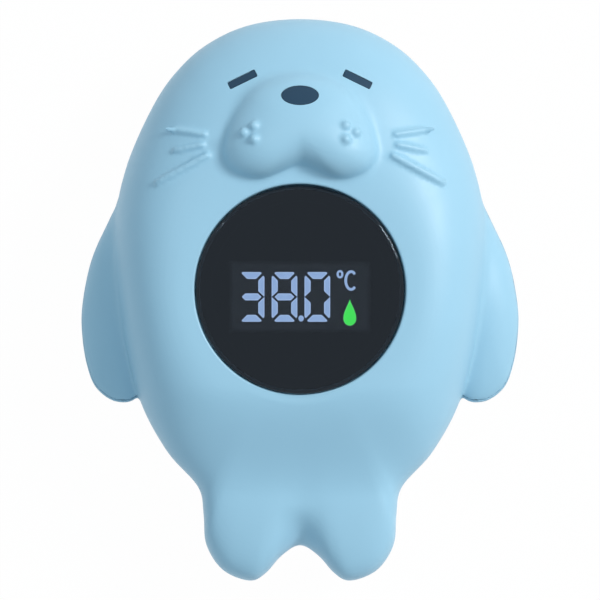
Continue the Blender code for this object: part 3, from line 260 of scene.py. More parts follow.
def muzzleForm(name):
    def place(spoke, turn, isFront):
        share = np.sin(math.pi / 2 * turn) ** (2 / muzzle["power"])
        spot = muzzleMiddle + (muzzleOutline[spoke] - muzzleMiddle) * share[:, None]
        x, y = spot.T
        sunk = bellyZ - muzzle["sink"] - 2 * muzzle["sink"] * (1 - share ** muzzle["power"]) ** (1 / muzzle["power"])
        return x, y, np.where(isFront, muzzleTop(x, y), sunk)

    return formFromSphere(name, muzzle["spokes"], muzzle["rings"], place)


def faceTop(x, y):
    return np.maximum(bellyTop(x, y), muzzleTop(x, y))


flipper = {
    "root": 25.08 * mm, "tip": 38.85 * mm, "halfLength": 18.2 * mm, "rise": 6.4 * mm, "taper": 0.35,
    "z": 14.2 * mm, "spokes": 120, "rings": 24,
    "knots": [(0.468, 1.0), (0.741, 0.643), (0.899, 0.33), (0.993, -0.055), (0.996, -0.33), (0.935, -0.632),
              (0.806, -0.868), (0.532, -1.0), (0.252, -0.923), (0, -0.44), (0.036, 0.275), (0.216, 0.797)],
}
flipperReach = flipper["tip"] - flipper["root"]
flipperOutline = smoothLoop([(flipper["root"] + x * flipperReach, y * flipper["halfLength"])
                             for x, y in flipper["knots"]], flipper["spokes"])


def flipperForm(name, side):
    middle = np.array([flipper["root"] + flipperReach / 2, 0])

    def place(spoke, turn, isFront):
        spot = middle + (flipperOutline[spoke] - middle) * np.sin(math.pi / 2 * turn)[:, None]
        x, y = spot.T
        plump = 1 - flipper["taper"] * ramp(-y, -flipper["halfLength"], flipper["halfLength"])
        rise = flipper["rise"] * plump * np.cos(math.pi / 2 * turn)
        return side * x, y, flipper["z"] + np.where(isFront, rise, -rise)

    return formFromSphere(name, flipper["spokes"], flipper["rings"], place)


# whiskers are short blunt rods and the muzzle dots small spheres, melted into the head by the remesh

whiskers = {
    # inner end, outer end and thickness, in millimetres
    "paths": [((16.6, 29.3), (24.0, 30.4), 1.0), ((16.9, 27.6), (22.6, 26.4), 1.05),
              ((16.1, 25.8), (25.7, 20.6), 1.3)],
    "taper": (0.8, 1, 1, 1, 1, 1, 0.95, 0.75), "proud": 0.24, "sides": 12,
}
dots = {"places": [(8.1, 30.8), (9.9, 29.6), (8.1, 28.4)], "radius": 0.9 * mm, "segments": 24, "rings": 16}


def rodAlong(name, points, radii, sides):
    # a capped tube through points, made from a curve
    deselectAll()
    bpy.ops.curve.primitive_nurbs_path_add()
    obj = bpy.context.active_object
    curve = obj.data
    curve.splines.clear()
    spline = curve.splines.new("POLY")
    spline.points.add(len(points) - 1)
    for point, place, radius in zip(spline.points, points, radii):
        point.co = (*place, 1)
        point.radius = radius
    curve.bevel_depth = 1
    curve.bevel_resolution = max(0, sides // 4 - 1)
    curve.use_fill_caps = True
    curve.dimensions = "3D"
    pick(obj)
    bpy.ops.object.convert(target="MESH")
    obj = named(name)
    settle(obj)
    weld(obj)
    return obj


def whiskerForms():
    forms = []
    for side in (-1, 1):
        for index, (inner, outer, thickness) in enumerate(whiskers["paths"]):
            steps = np.linspace(0, 1, len(whiskers["taper"]))
            x = (inner[0] + (outer[0] - inner[0]) * steps) * mm
            y = (inner[1] + (outer[1] - inner[1]) * steps) * mm
            z = faceTop(x, y) + thickness * mm * whiskers["proud"]
            radii = [thickness * mm / 2 * share for share in whiskers["taper"]]
            forms.append(rodAlong(f"whisker{index}", list(zip(side * x, y, z)), radii, whiskers["sides"]))
    return forms


def dotForms():
    forms = []
    for side in (-1, 1):
        for x, y in dots["places"]:
            deselectAll()
            place = (side * x * mm, y * mm, float(faceTop(x * mm, y * mm)))
            bpy.ops.mesh.primitive_uv_sphere_add(segments=dots["segments"], ring_count=dots["rings"],
                                                 radius=dots["radius"], location=place)
            forms.append(settle(named("dot")))
    return forms


# one fine skin is remeshed from all the forms, then parted into the two shells

def sealSkin():
    forms = [bodyForm("seal", seal["spokes"], seal["rings"]), muzzleForm("muzzle"), flipperForm("flipperLeft", -1),
             flipperForm("flipperRight", 1), *whiskerForms(), *dotForms()]
    skin = joinAll(forms)
    skin.name = "sealSkin"
    addModifier(skin, "REMESH", mode="VOXEL", voxel_size=seal["voxel"], adaptivity=0)
    addModifier(skin, "SMOOTH", factor=0.5, iterations=blend["skin"]["iterations"])
    softenJoins(skin)
    return skin


blend = {
    "skin": {"iterations": 3, "frontFrom": 3 * mm, "weightSteps": 20},
    "flipper": {"width": 3.2 * mm, "iterations": 120, "low": -12 * mm, "high": 8 * mm, "top": 24 * mm},
    "muzzle": {"width": 0.2, "iterations": 110, "low": -0.2, "high": 0.7},
    "lip": {"width": 0.10, "iterations": 22, "low": -0.4, "high": 0.4},
}


def softenJoins(skin):
    # the flippers run into the shoulders and the muzzle into the brow, so those joins are smoothed
    count = len(skin.data.vertices)
    co = np.empty(count * 3)
    skin.data.vertices.foreach_get("co", co)
    x, y, z = co.reshape(-1, 3).T
    isFront = z > partingZ + blend["skin"]["frontFrom"]
    distance, limit = reachTo(muzzleOutline, muzzleMiddle, x, y)
    nearRim = np.exp(-(((distance / limit - 1) / blend["muzzle"]["width"]) ** 2)) * isFront
    up = (y - muzzle["y"]) / muzzle["halfHeight"]
    brow = nearRim * ramp(up, blend["muzzle"]["low"], blend["muzzle"]["high"])
    lip = np.exp(-(((distance / limit - 1) / blend["lip"]["width"]) ** 2)) * isFront
    lip = lip * (1 - ramp(up, blend["lip"]["low"], blend["lip"]["high"]))
    bodyDistance, bodyLimit = reachTo(bodyOutline, np.zeros(2), x, y)
    shoulder = np.exp(-(((bodyDistance - bodyLimit) / blend["flipper"]["width"]) ** 2))
    shoulder = shoulder * ramp(y, blend["flipper"]["low"], blend["flipper"]["high"]) * (y < blend["flipper"]["top"])
    weightSteps = blend["skin"]["weightSteps"]
    for name, weights, iterations in (("brow", brow, blend["muzzle"]["iterations"]),
                                      ("shoulder", shoulder, blend["flipper"]["iterations"]),
                                      ("lip", lip, blend["lip"]["iterations"])):
        group = skin.vertex_groups.new(name=name)
        steps = np.rint(weights * weightSteps).astype(int)
        for step in range(1, weightSteps + 1):
            chosen = np.flatnonzero(steps == step)
            if len(chosen):
                group.add(chosen.tolist(), step / weightSteps, "REPLACE")
        addModifier(skin, "SMOOTH", factor=0.5, iterations=iterations, vertex_group=name)
    skin.vertex_groups.clear()


def halfOf(skin, name, keepAbove, z):
    deselectAll()
    skin.select_set(True)
    bpy.context.view_layer.objects.active = skin
    bpy.ops.object.duplicate()
    half = named(name)
    bpy.ops.object.mode_set(mode="EDIT")
    bpy.ops.mesh.select_all(action="SELECT")
    bpy.ops.mesh.bisect(plane_co=(0, 0, z), plane_no=(0, 0, 1), clear_inner=keepAbove, clear_outer=not keepAbove)
    bpy.ops.mesh.fill(use_beauty=False)
    bpy.ops.mesh.select_all(action="SELECT")
    bpy.ops.mesh.normals_make_consistent(inside=False)
    bpy.ops.object.mode_set(mode="OBJECT")
    return half


# flat plates come from curves, turned pieces from a profile that is extruded point by point and spun

def flatPlate(name, loops, low, high, edge=0.0, steps=1):
    deselectAll()
    bpy.ops.curve.primitive_bezier_circle_add()
    obj = bpy.context.active_object
    curve = obj.data
    curve.splines.clear()
    curve.dimensions = "2D"
    curve.fill_mode = "BOTH"
    curve.extrude = (high - low) / 2 - edge
    curve.bevel_depth = edge
    curve.bevel_resolution = steps
    curve.offset = -edge
    for loop in loops:
        spline = curve.splines.new("POLY")
        spline.points.add(len(loop) - 1)
        for point, (x, y) in zip(spline.points, loop):
            point.co = (x, y, 0, 1)
        spline.use_cyclic_u = True
    pick(obj)
    bpy.ops.object.convert(target="MESH")
    obj = named(name)
    obj.location.z = (low + high) / 2
    settle(obj)
    weld(obj)
    return obj


def spunForm(name, profile, at=(0, 0), sides=48):
    deselectAll()
    bpy.ops.mesh.primitive_plane_add(size=mm, location=(at[0], at[1], 0))
    obj = settle(named(name))
    bpy.ops.object.mode_set(mode="EDIT")
    bpy.ops.mesh.select_all(action="SELECT")
    bpy.ops.mesh.merge(type="CENTER")
    bpy.ops.transform.translate(value=(profile[0][0], 0, profile[0][1]))
    for (radius, height), (nextRadius, nextHeight) in zip(profile, profile[1:]):
        move = (nextRadius - radius, 0, nextHeight - height)
        bpy.ops.mesh.extrude_region_move(TRANSFORM_OT_translate={"value": move})
    bpy.ops.mesh.select_all(action="SELECT")
    bpy.ops.mesh.spin(steps=sides, angle=2 * math.pi, center=(at[0], at[1], 0), axis=(0, 0, 1))
    bpy.ops.object.mode_set(mode="OBJECT")
    weld(obj)
    return obj


def blockForm(name, size, middle):
    deselectAll()
    bpy.ops.mesh.primitive_cube_add(size=1, location=middle, scale=size)
    return settle(named(name))


def postForm(name, radius, low, high, at, sides=32):
    return spunForm(name, [(0, high), (radius, high), (radius, low), (0, low)], at, sides)


def steppedForm(name, wide, seat, narrow, low, high, at, sides=40):
    return spunForm(name, [(0, high), (narrow, high), (narrow, seat), (wide, seat), (wide, low), (0, low)], at, sides)


def roundedCorner(centreRadius, centreHeight, radius, start, end, steps):
    # part of a profile: points round a corner, with the angles in degrees from straight out
    turns = [math.radians(start + (end - start) * step / steps) for step in range(steps + 1)]
    return [(centreRadius + radius * math.cos(turn), centreHeight + radius * math.sin(turn)) for turn in turns]


def roundedRectangle(width, length, corner, steps=8):
    points = []
    for quarter, (side, end) in enumerate(((1, 1), (-1, 1), (-1, -1), (1, -1))):
        for step in range(steps + 1):
            turn = math.pi / 2 * (quarter + step / steps)
            points.append((side * (width / 2 - corner) + corner * math.cos(turn),
                           end * (length / 2 - corner) + corner * math.sin(turn)))
    return points


def oval(wide, tall, at=(0, 0), count=40):
    turns = [2 * math.pi * step / count for step in range(count)]
    return [(at[0] + wide * math.cos(turn), at[1] + tall * math.sin(turn)) for turn in turns]


def middleOf(node):
    low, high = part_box(node)
    return tuple((a + b) / 2 for a, b in zip(low, high))


def dressed(piece, material, slot, *nodes, angle=35):
    smoothShade(piece, angle)
    piece.data.materials.clear()
    piece.data.materials.append(materials[material])
    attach(piece, "root")
    if nodes:
        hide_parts(*nodes)
    return piece


# lens, its seat and what stands inside the front

lens = {"bevel": 0.7 * mm, "seatGap": 0.15 * mm, "flare": 0.42 * mm, "opening": 15.5 * mm, "ledge": 29.1 * mm,
        "cupWall": 2 * mm, "cupLow": 27.6 * mm, "above": 3 * mm, "mouthReach": 2 * mm,
        "mouthStep": (0.6 * mm, 0.25 * mm), "mouthTurns": (70, 52, 35, 18, 0),
        "flats": (4 * mm, 9 * mm, 14 * mm), "corner": 0.1 * mm}
board = {"top": 22.6 * mm, "bottom": 21 * mm, "postRadius": 2 * mm, "postHole": 1 * mm, "holeTop": 26.2 * mm}
shellScrew = {"seat": 8 * mm, "top": 20.3 * mm, "head": 2.7 * mm, "shank": 1.4 * mm, "length": 12 * mm,
              "headHeight": 1.8 * mm, "gap": 0.3 * mm, "wall": 0.9 * mm}
rim = {"lip": 0.8 * mm, "low": 13.5 * mm, "high": 16.5 * mm, "frontLow": 2 * mm, "backHigh": 28 * mm}
shellScrewPlaces = [middleOf(f"housing_screw_{index}")[:2] for index in (1, 2, 3, 4)]
boardScrewPlaces = [middleOf(f"board_screw_{index}")[:2] for index in (1, 2, 3, 4)]
lensMiddle = (0, lensY)


def frontCutter():
    # all that is hollow in the front shell, as one form
    hollow = bodyForm("frontHollow", *seal["hollow"], seal["wall"])
    rebate = flatPlate("frontRebate", [shrunk(bodyOutline, rim["lip"])[::3]], rim["frontLow"], rim["high"])
    combine(hollow, rebate, "UNION")
    combine(hollow, postForm("cup", lensRadius + lens["seatGap"] + lens["cupWall"], lens["cupLow"],
                             bellyZ, lensMiddle, 96))
    for place in boardScrewPlaces:
        combine(hollow, postForm("post", board["postRadius"], board["top"] + lens["seatGap"], bellyZ, place, 24))
    bossRadius = shellScrew["shank"] + shellScrew["gap"] + shellScrew["wall"]
    for place in shellScrewPlaces:
        combine(hollow, postForm("boss", bossRadius, partingZ + gapZ, bellyZ, place, 24))
        combine(hollow, postForm("pilot", shellScrew["shank"] + shellScrew["gap"], partingZ - through,
                                 shellScrew["top"], place, 24), "UNION")
    for place in boardScrewPlaces:
        combine(hollow, postForm("postHole", board["postHole"], board["bottom"], board["holeTop"], place, 16),
                "UNION")
    seat = lensRadius + lens["seatGap"]
    flare = lens["flare"]
    turns = [math.radians(turn) for turn in lens["mouthTurns"]]
    mouth = [(seat + flare - flare * math.cos(turn), bellyZ - flare + flare * math.sin(turn)) for turn in turns]
    top, bottom = bellyZ + lens["above"], lens["cupLow"] - lens["above"]
    stepOut, stepUp = lens["mouthStep"]
    profile = [(0, top), (seat + flare + lens["mouthReach"], top), (seat + flare + stepOut, bellyZ + stepUp)]
    ledge, opening = lens["ledge"], lens["opening"]
    profile += mouth + [(seat, ledge), (opening, ledge), (opening, bottom), (0, bottom)]
    combine(hollow, spunForm("seatHole", profile, lensMiddle, 160), "UNION")
    return hollow


# eyes and nose are dark inlays whose tops follow the head

inlay = {"depth": 0.76 * mm, "shy": 0.05 * mm, "gap": 0.1 * mm, "edge": 0.08 * mm,
         "eye": (5.2 * mm, 1.2 * mm), "eyeTilt": 26, "eyeCorner": 0.12 * mm, "nose": (6.5 * mm, 3.3 * mm),
         "grid": 40, "eyeRows": 16, "noseRows": 28, "above": 20 * mm}


def turnedPlace(x, y, tilt, middle):
    cosine, sine = math.cos(tilt), math.sin(tilt)
    return middle[0] + x * cosine - y * sine, middle[1] + x * sine + y * cosine


def inlayPiece(name, node, skin, size, tilt, isOval):
    width, height = size
    middle = middleOf(node)
    deselectAll()
    rows = inlay["noseRows"] if isOval else inlay["eyeRows"]
    bpy.ops.mesh.primitive_grid_add(x_subdivisions=inlay["grid"], y_subdivisions=rows, size=2)
    obj = named(name)
    corner = inlay["eyeCorner"]
    for vertex in obj.data.vertices:
        u, v = vertex.co[:2]
        if isOval:
            u, v = u * math.sqrt(1 - v * v / 2), v * math.sqrt(1 - u * u / 2)
        x, y = u * width / 2, v * height / 2
        if not isOval:
            over = (max(0, abs(x) - width / 2 + corner), max(0, abs(y) - height / 2 + corner))
            reach = math.hypot(*over)
            if reach > corner:
                x -= math.copysign(over[0] * (1 - corner / reach), x)
                y -= math.copysign(over[1] * (1 - corner / reach), y)
        vertex.co = (*turnedPlace(x, y, tilt, middle), bellyZ + inlay["above"])
    addModifier(obj, "SHRINKWRAP", target=skin, wrap_method="PROJECT", use_project_z=True,
                use_positive_direction=False, use_negative_direction=True)
    obj.location.z = -inlay["shy"]
    settle(obj)
    addModifier(obj, "SOLIDIFY", thickness=inlay["depth"], offset=-1, use_even_offset=True)
    addModifier(obj, "BEVEL", width=inlay["edge"], segments=2, limit_method="ANGLE", angle_limit=math.radians(50))
    lowest = min(vertex.co.z for vertex in obj.data.vertices)
    return obj, lowest


def inlayPocket(name, node, size, tilt, isOval, low):
    middle = middleOf(node)
    grow = inlay["gap"]
    if isOval:
        outline = oval(size[0] / 2 + grow, size[1] / 2 + grow, count=64)
    else:
        outline = roundedRectangle(size[0] + 2 * grow, size[1] + 2 * grow, inlay["eyeCorner"] + grow, 4)
    outline = [turnedPlace(x, y, tilt, middle) for x, y in outline]
    return flatPlate(name, [outline], low - grow, bellyZ + inlay["above"])


# battery bay, door and the holes in the back

bay = {"width": 22.2 * mm, "length": 49.9 * mm, "roof": 15.4 * mm, "wall": 1.5 * mm, "ledge": 3.5 * mm,
       "trayLow": 1.3 * mm, "trayTop": 5.5 * mm, "slot": (3.1 * mm, 0.7 * mm), "slotHeight": 6 * mm,
       "housingHeight": 16 * mm, "housingMiddle": 11 * mm, "housingLow": 10 * mm}
door = {"width": 28.2 * mm, "length": 62.3 * mm, "corner": 9 * mm, "low": 0.3 * mm, "high": 2.1 * mm,
        "gap": 0.3 * mm, "edge": 0.35 * mm, "lipTop": 4.3 * mm, "lipWall": 1.2 * mm, "lipCorner": 2.1 * mm,
        "lipGap": 0.6 * mm, "grooveEdge": 0.3 * mm,
        "mouthDeep": 0.22 * mm, "grooves": 5, "pitch": 2.4 * mm, "grooveLength": 12 * mm, "grooveWidth": 0.9 * mm,
        "grooveDepth": 0.6 * mm}
doorScrew = {"seat": 1.5 * mm, "head": 1.8 * mm, "shank": 0.9 * mm, "length": 8 * mm, "headHeight": 0.8 * mm,
             "gap": 0.3 * mm, "wall": 0.9 * mm, "bite": 0.1 * mm, "pilotLow": 2.6 * mm, "pilotPast": 0.3 * mm,
             "bossPast": 1.2 * mm}
probe = {"radius": 2.1 * mm, "flange": 2.9 * mm, "seat": 2.6 * mm, "collar": 2.5 * mm, "gap": 0.3 * mm,
         "wall": 0.4 * mm, "tip": 0.12 * mm, "dome": 0.6 * mm, "collarWall": 0.9 * mm, "edge": 0.06 * mm,
         "lip": 0.05 * mm}
pin = {"head": 1.6 * mm, "shank": 0.9 * mm, "seat": 1.2 * mm, "headHeight": 0.7 * mm, "length": 6 * mm,
       "gap": 0.3 * mm, "snug": 0.1 * mm, "holeTop": 7.5 * mm, "sunk": 0.3 * mm, "edge": 0.04 * mm,
       "bevel": 0.15 * mm, "sides": 56}
holeMouth = {"deep": 0.25 * mm, "shallow": 0.1 * mm, "wide": 0.35 * mm, "screwWide": 0.4 * mm, "screwDeep": 0.3 * mm}
doorScrewPlaces = [middleOf(f"door_screw_{index}")[:2] for index in (1, 2)]
probePlace = middleOf("probe_cap")[:2]
pinPlaces = [middleOf(f"water_contact_{side}")[:2] for side in ("left", "right")]
tabPlaces = [middleOf(f"terminal_{side}")[:2] for side in ("left", "right")]
bayHousing = (bay["width"] + 2 * bay["wall"], bay["length"] + 2 * bay["wall"])


def holeProfile(wide, narrow, seat, top, deep, faceZ, chamfer):
    # a counterbored hole from below, with a chamfered mouth at the face it starts from
    out = wide + chamfer
    return [(0, top), (narrow, top), (narrow, seat), (wide, seat), (wide, faceZ + deep),
            (out, faceZ - holeMouth["shallow"]), (out, -through), (0, -through)]


def backCutter():
    # all that is hollow in the back shell, as one form
    hollow = bodyForm("backHollow", *seal["hollow"], seal["wall"])
    rebate = flatPlate("backRebate", [shrunk(bodyOutline, rim["lip"])[::3]], rim["low"], rim["backHigh"])
    combine(hollow, rebate, "UNION")
    tray = roundedRectangle(door["width"] + 2 * bay["wall"], door["length"] + 2 * bay["wall"],
                            door["corner"] + bay["wall"])
    combine(hollow, flatPlate("tray", [tray], bay["trayLow"], bay["trayTop"]))
    combine(hollow, blockForm("bayHousing", (*bayHousing, bay["housingHeight"]), (0, 0, bay["housingMiddle"])))
    for place in shellScrewPlaces:
        combine(hollow, postForm("boss", shellScrew["head"] + shellScrew["gap"] + shellScrew["wall"], 0,
                                 partingZ - gapZ, place))
    screwEnd = doorScrew["seat"] + doorScrew["length"]
    for place in doorScrewPlaces:
        radius = doorScrew["shank"] + doorScrew["gap"] + doorScrew["wall"]
        combine(hollow, postForm("doorBoss", radius, bay["ledge"], screwEnd + doorScrew["bossPast"], place, 24))
        combine(hollow, postForm("doorPilot", doorScrew["shank"] + doorScrew["bite"], doorScrew["pilotLow"],
                                 screwEnd + doorScrew["pilotPast"], place, 24), "UNION")
    wide, narrow = probe["flange"] + probe["gap"], probe["radius"] + probe["gap"]
    collarRadius = wide + probe["collarWall"]
    combine(hollow, postForm("collar", collarRadius, 0, probe["seat"] + probe["collar"], probePlace))
    combine(hollow, steppedForm("probeHole", wide, probe["seat"], narrow, partingZ, -through, probePlace), "UNION")
    for place in pinPlaces:
        wide, narrow = pin["head"] + pin["gap"], pin["shank"] + pin["snug"]
        profile = holeProfile(wide, narrow, pin["seat"], pin["holeTop"], holeMouth["deep"], 0, holeMouth["wide"])
        combine(hollow, spunForm("pinHole", profile, place, 40), "UNION")
    for index, place in enumerate(shellScrewPlaces):
        wide, narrow = shellScrew["head"] + shellScrew["gap"], shellScrew["shank"] + shellScrew["gap"]
        chamfer = holeMouth["screwWide"] if index < 2 else 0.0  # the lower pair opens on the sloping tail
        profile = holeProfile(wide, narrow, shellScrew["seat"], shellScrew["top"], holeMouth["screwDeep"], 0, chamfer)
        combine(hollow, spunForm("screwHole", profile, place, 40), "UNION")
    gap = door["gap"]
    opening = roundedRectangle(door["width"] + 2 * gap, door["length"] + 2 * gap, door["corner"] + gap)
    combine(hollow, flatPlate("doorRecess", [opening], -through, bay["ledge"]), "UNION")
    chamfer = roundedRectangle(door["width"] + 4 * gap, door["length"] + 4 * gap, door["corner"] + 2 * gap)
    combine(hollow, flatPlate("doorMouth", [chamfer], -through, door["mouthDeep"], gap, 0), "UNION")
    baySize = (bay["width"], bay["length"], bay["roof"] + mm)
    combine(hollow, blockForm("bay", baySize, (0, 0, (bay["roof"] - mm) / 2)), "UNION")
    for place in tabPlaces:
        slotMiddle = (*place, bay["roof"] + bay["slotHeight"] / 2 - mm / 2)
        combine(hollow, blockForm("tabSlot", (*bay["slot"], bay["slotHeight"]), slotMiddle), "UNION")
    return hollow


def shells():
    skin = sealSkin()
    print("skin made:", len(skin.data.polygons), "faces")
    cutter = frontCutter()
    marks = []
    for name, node, size, tilt, isOval in (
            ("eyeLeft", "eye_left", inlay["eye"], math.radians(inlay["eyeTilt"]), False),
            ("eyeRight", "eye_right", inlay["eye"], -math.radians(inlay["eyeTilt"]), False),
            ("nose", "nose", inlay["nose"], 0, True)):
        piece, low = inlayPiece(name, node, skin, size, tilt, isOval)
        marks.append((piece, node))
        cutter = joinAll([cutter, inlayPocket(name + "Pocket", node, size, tilt, isOval, low)])
    front = halfOf(skin, "frontShell", True, partingZ + gapZ)
    back = halfOf(skin, "backShell", False, partingZ - gapZ)
    bpy.data.objects.remove(skin, do_unlink=True)
    combine(front, cutter)
    print("front shell cut:", len(front.data.polygons), "faces")
    top = bay["roof"] + bay["wall"]
    bottom = bay["housingLow"]
    combine(back, blockForm("bayTop", (*bayHousing, top - bottom), (0, 0, (top + bottom) / 2)), "UNION")
    combine(back, backCutter())
    print("back shell cut:", len(back.data.polygons), "faces")
    return front, back, marks


# lens: a clear disc with a rounded rim

def lensPiece():
    low, high, bevel = lensLow[2], lensHigh[2], lens["bevel"]
    rimPoints = roundedCorner(lensRadius - bevel, high - bevel, bevel, 90, 0, 8)
    rings = [(0, high)] + [(flat, high) for flat in lens["flats"]]
    corner = lens["corner"]
    profile = rings + rimPoints + [(lensRadius, low + corner), (lensRadius - corner, low), (0, low)]
    return spunForm("displayLens", profile, lensMiddle, 160)


# the numeric display: mitred bars of light, a degree ring, a C and a green drop

display = {
    "y": 0.55 * mm, "face": 29.9 * mm, "low": 22.9 * mm, "size": (25 * mm, 12.5 * mm), "wall": 1 * mm,
    "guideTop": 29.7 * mm, "guideFloor": 28.5 * mm, "guideBase": 1.2 * mm, "windowGap": 0.05 * mm, "edge": 0.16 * mm,
    "digits": "380", "digitHeight": 8.7 * mm, "digitWidth": 4.44 * mm, "pitch": 5.82 * mm, "firstX": -8.57 * mm,
    "bar": 1.12 * mm, "side": 0.98 * mm, "gap": 0.26 * mm, "nick": 0.16 * mm, "set": 0.24 * mm, "shoulder": 0.62 * mm,
    "elbow": 0.12 * mm, "tipSet": 0.3 * mm,
    "point": (0.2 * mm, -3.26 * mm), "pointSize": (0.42 * mm, 0.48 * mm),
    "degree": (7.08 * mm, 4.56 * mm), "degreeSize": (0.56 * mm, 0.68 * mm), "degreeStroke": 0.28 * mm,
    "unit": (9.05 * mm, 3.45 * mm), "unitSize": (1.14 * mm, 1.76 * mm), "unitStroke": 0.37 * mm, "unitMouth": 48,
    "drop": (8.82 * mm, -2.25 * mm), "dropSize": (1.12 * mm, 2.27 * mm), "dropEdge": 0.12 * mm, "roundEdge": 0.08 * mm,
    "housingCorner": 0.6 * mm, "housingEdge": 0.2 * mm, "baseGap": 0.6 * mm, "baseCorner": 0.4 * mm,
    "roofGap": 0.3 * mm,
}
litBars = {"top": "380", "upperRight": "380", "lowerRight": "380", "bottom": "380", "lowerLeft": "80",
           "upperLeft": "80", "middle": "38"}


def digitBars(middle):
    wide, tall = display["digitWidth"] / 2, display["digitHeight"] / 2
    bar, side, gap = display["bar"], display["side"], display["gap"]
    nick, inset = display["nick"], display["set"]  # the small flat at a bar's outer end, and how far the end stands in
    end = wide - gap - inset
    top = [(-end, tall - nick), (-end + nick, tall), (end - nick, tall), (end, tall - nick),
           (end - bar + nick, tall - bar), (bar - nick - end, tall - bar)]
    outer = [(wide - nick, tall - gap - nick - inset), (wide, tall - gap - 2.4 * nick - inset), (wide, gap / 2)]
    inner = [(wide - side, (gap + bar) / 2 + side - display["shoulder"]),
             (wide - side, tall - gap - bar - display["elbow"])]
    tip = wide - gap - display["tipSet"]
    flat = tip - bar / 2
    middleBar = [(-tip, 0), (-flat, bar / 2), (flat, bar / 2), (tip, 0), (flat, -bar / 2), (-flat, -bar / 2)]
    shapes = {"top": (top, 1, 1), "bottom": (top, 1, -1), "middle": (middleBar, 1, 1),
              "upperRight": (outer + inner, 1, 1), "lowerRight": (outer + inner, 1, -1),
              "upperLeft": (outer + inner, -1, 1), "lowerLeft": (outer + inner, -1, -1)}
    return {name: [(middle[0] + flip * x, middle[1] + turn * y) for x, y in shape]
            for name, (shape, flip, turn) in shapes.items()}


def litLoops():
    # every lit figure as its outline, with a second loop where it has a hole
    figures = []
    for index, digit in enumerate(display["digits"]):
        middle = (display["firstX"] + index * display["pitch"], display["y"])
        figures += [[bar] for name, bar in digitBars(middle).items() if digit in litBars[name]]
    figures.append([oval(*display["pointSize"], display["point"])])
    wide, tall = display["degreeSize"]
    stroke = display["degreeStroke"]
    figures.append([oval(wide, tall, display["degree"]), oval(wide - stroke, tall - stroke, display["degree"])])
    wide, tall = display["unitSize"]
    stroke, mouth = display["unitStroke"], display["unitMouth"]
    turns = np.radians(np.linspace(mouth, 360 - mouth, 44))
    across, up = display["unit"]
    band = [(across + wide * math.cos(turn), up + tall * math.sin(turn)) for turn in turns]
    band += [(across + (wide - stroke) * math.cos(turn), up + (tall - stroke) * math.sin(turn))
             for turn in turns[::-1]]
    figures.append([band])
    return figures


def dropLoop():
    wide, tall = display["dropSize"]
    turns = np.linspace(0, 2 * math.pi, 56, endpoint=False)
    across = np.sin(turns) * np.sin(turns / 2) ** 1.5
    across = across / across.max() * wide
    return [(display["drop"][0] + x, display["drop"][1] + tall * math.cos(turn)) for x, turn in zip(across, turns)]


def offsetLoop(points, distance):
    # moves each side outwards, whichever way round the loop runs
    points = np.array(points, dtype=float)
    ahead = np.roll(points, -1, 0)
    turn = math.copysign(1, np.sum(points[:, 0] * ahead[:, 1] - points[:, 1] * ahead[:, 0]))
    run = (ahead - points) / np.hypot(*(ahead - points).T)[:, None]
    outward = turn * np.stack([run[:, 1], -run[:, 0]], axis=1)
    before = np.roll(outward, 1, 0)
    mitre = (outward + before) / (1 + np.sum(outward * before, axis=1))[:, None]
    return [tuple(point) for point in points + mitre * distance]


def displayPieces():
    wide, tall = display["size"]
    gap = display["windowGap"]
    outline = [(x, y + display["y"]) for x, y in roundedRectangle(wide, tall, display["housingCorner"], 4)]
    housing = flatPlate("displayHousing", [outline], display["low"], display["face"], display["housingEdge"])
    walls = 2 * display["wall"]
    roof = display["guideFloor"] + display["roofGap"]
    pocketLow = display["low"] - through
    combine(housing, blockForm("pocket", (wide - walls, tall - walls, roof - pocketLow),
                               (0, display["y"], (roof + pocketLow) / 2)))
    base = (wide - walls - display["baseGap"], tall - walls - display["baseGap"])
    baseOutline = [(x, y + display["y"]) for x, y in roundedRectangle(*base, display["baseCorner"], 3)]
    baseLow = display["guideFloor"] - display["guideBase"]
    guide = flatPlate("segmentGuide", [baseOutline], baseLow, display["guideFloor"])
    low = display["guideFloor"] - display["guideBase"] / 2
    figures = litLoops()
    lit = joinAll([flatPlate("figure", loops, low, display["guideTop"],
                             display["edge"] if len(loops[0]) < 20 else display["roundEdge"]) for loops in figures])
    windows = joinAll([flatPlate("window", [offsetLoop(loops[0], gap)], low, display["face"] + through)
                       for loops in figures])
    combine(guide, lit, "UNION")
    combine(housing, windows)
    wideIn, tallIn = (size - display["degreeStroke"] - gap for size in display["degreeSize"])
    plug = flatPlate("degreePlug", [oval(wideIn, tallIn, display["degree"])], display["guideFloor"], display["face"])
    housing = joinAll([housing, plug])  # the dark middle of the degree ring stands on the light guide
    drop = dropLoop()
    for piece, grow in ((guide, 2 * gap), (housing, gap)):
        combine(piece, flatPlate("dropWindow", [offsetLoop(drop, grow)], display["guideFloor"] - through,
                                 display["face"] + through))
    dropGuide = flatPlate("dropGuide", [drop], baseLow, display["guideTop"], display["dropEdge"])
    return housing, guide, dropGuide


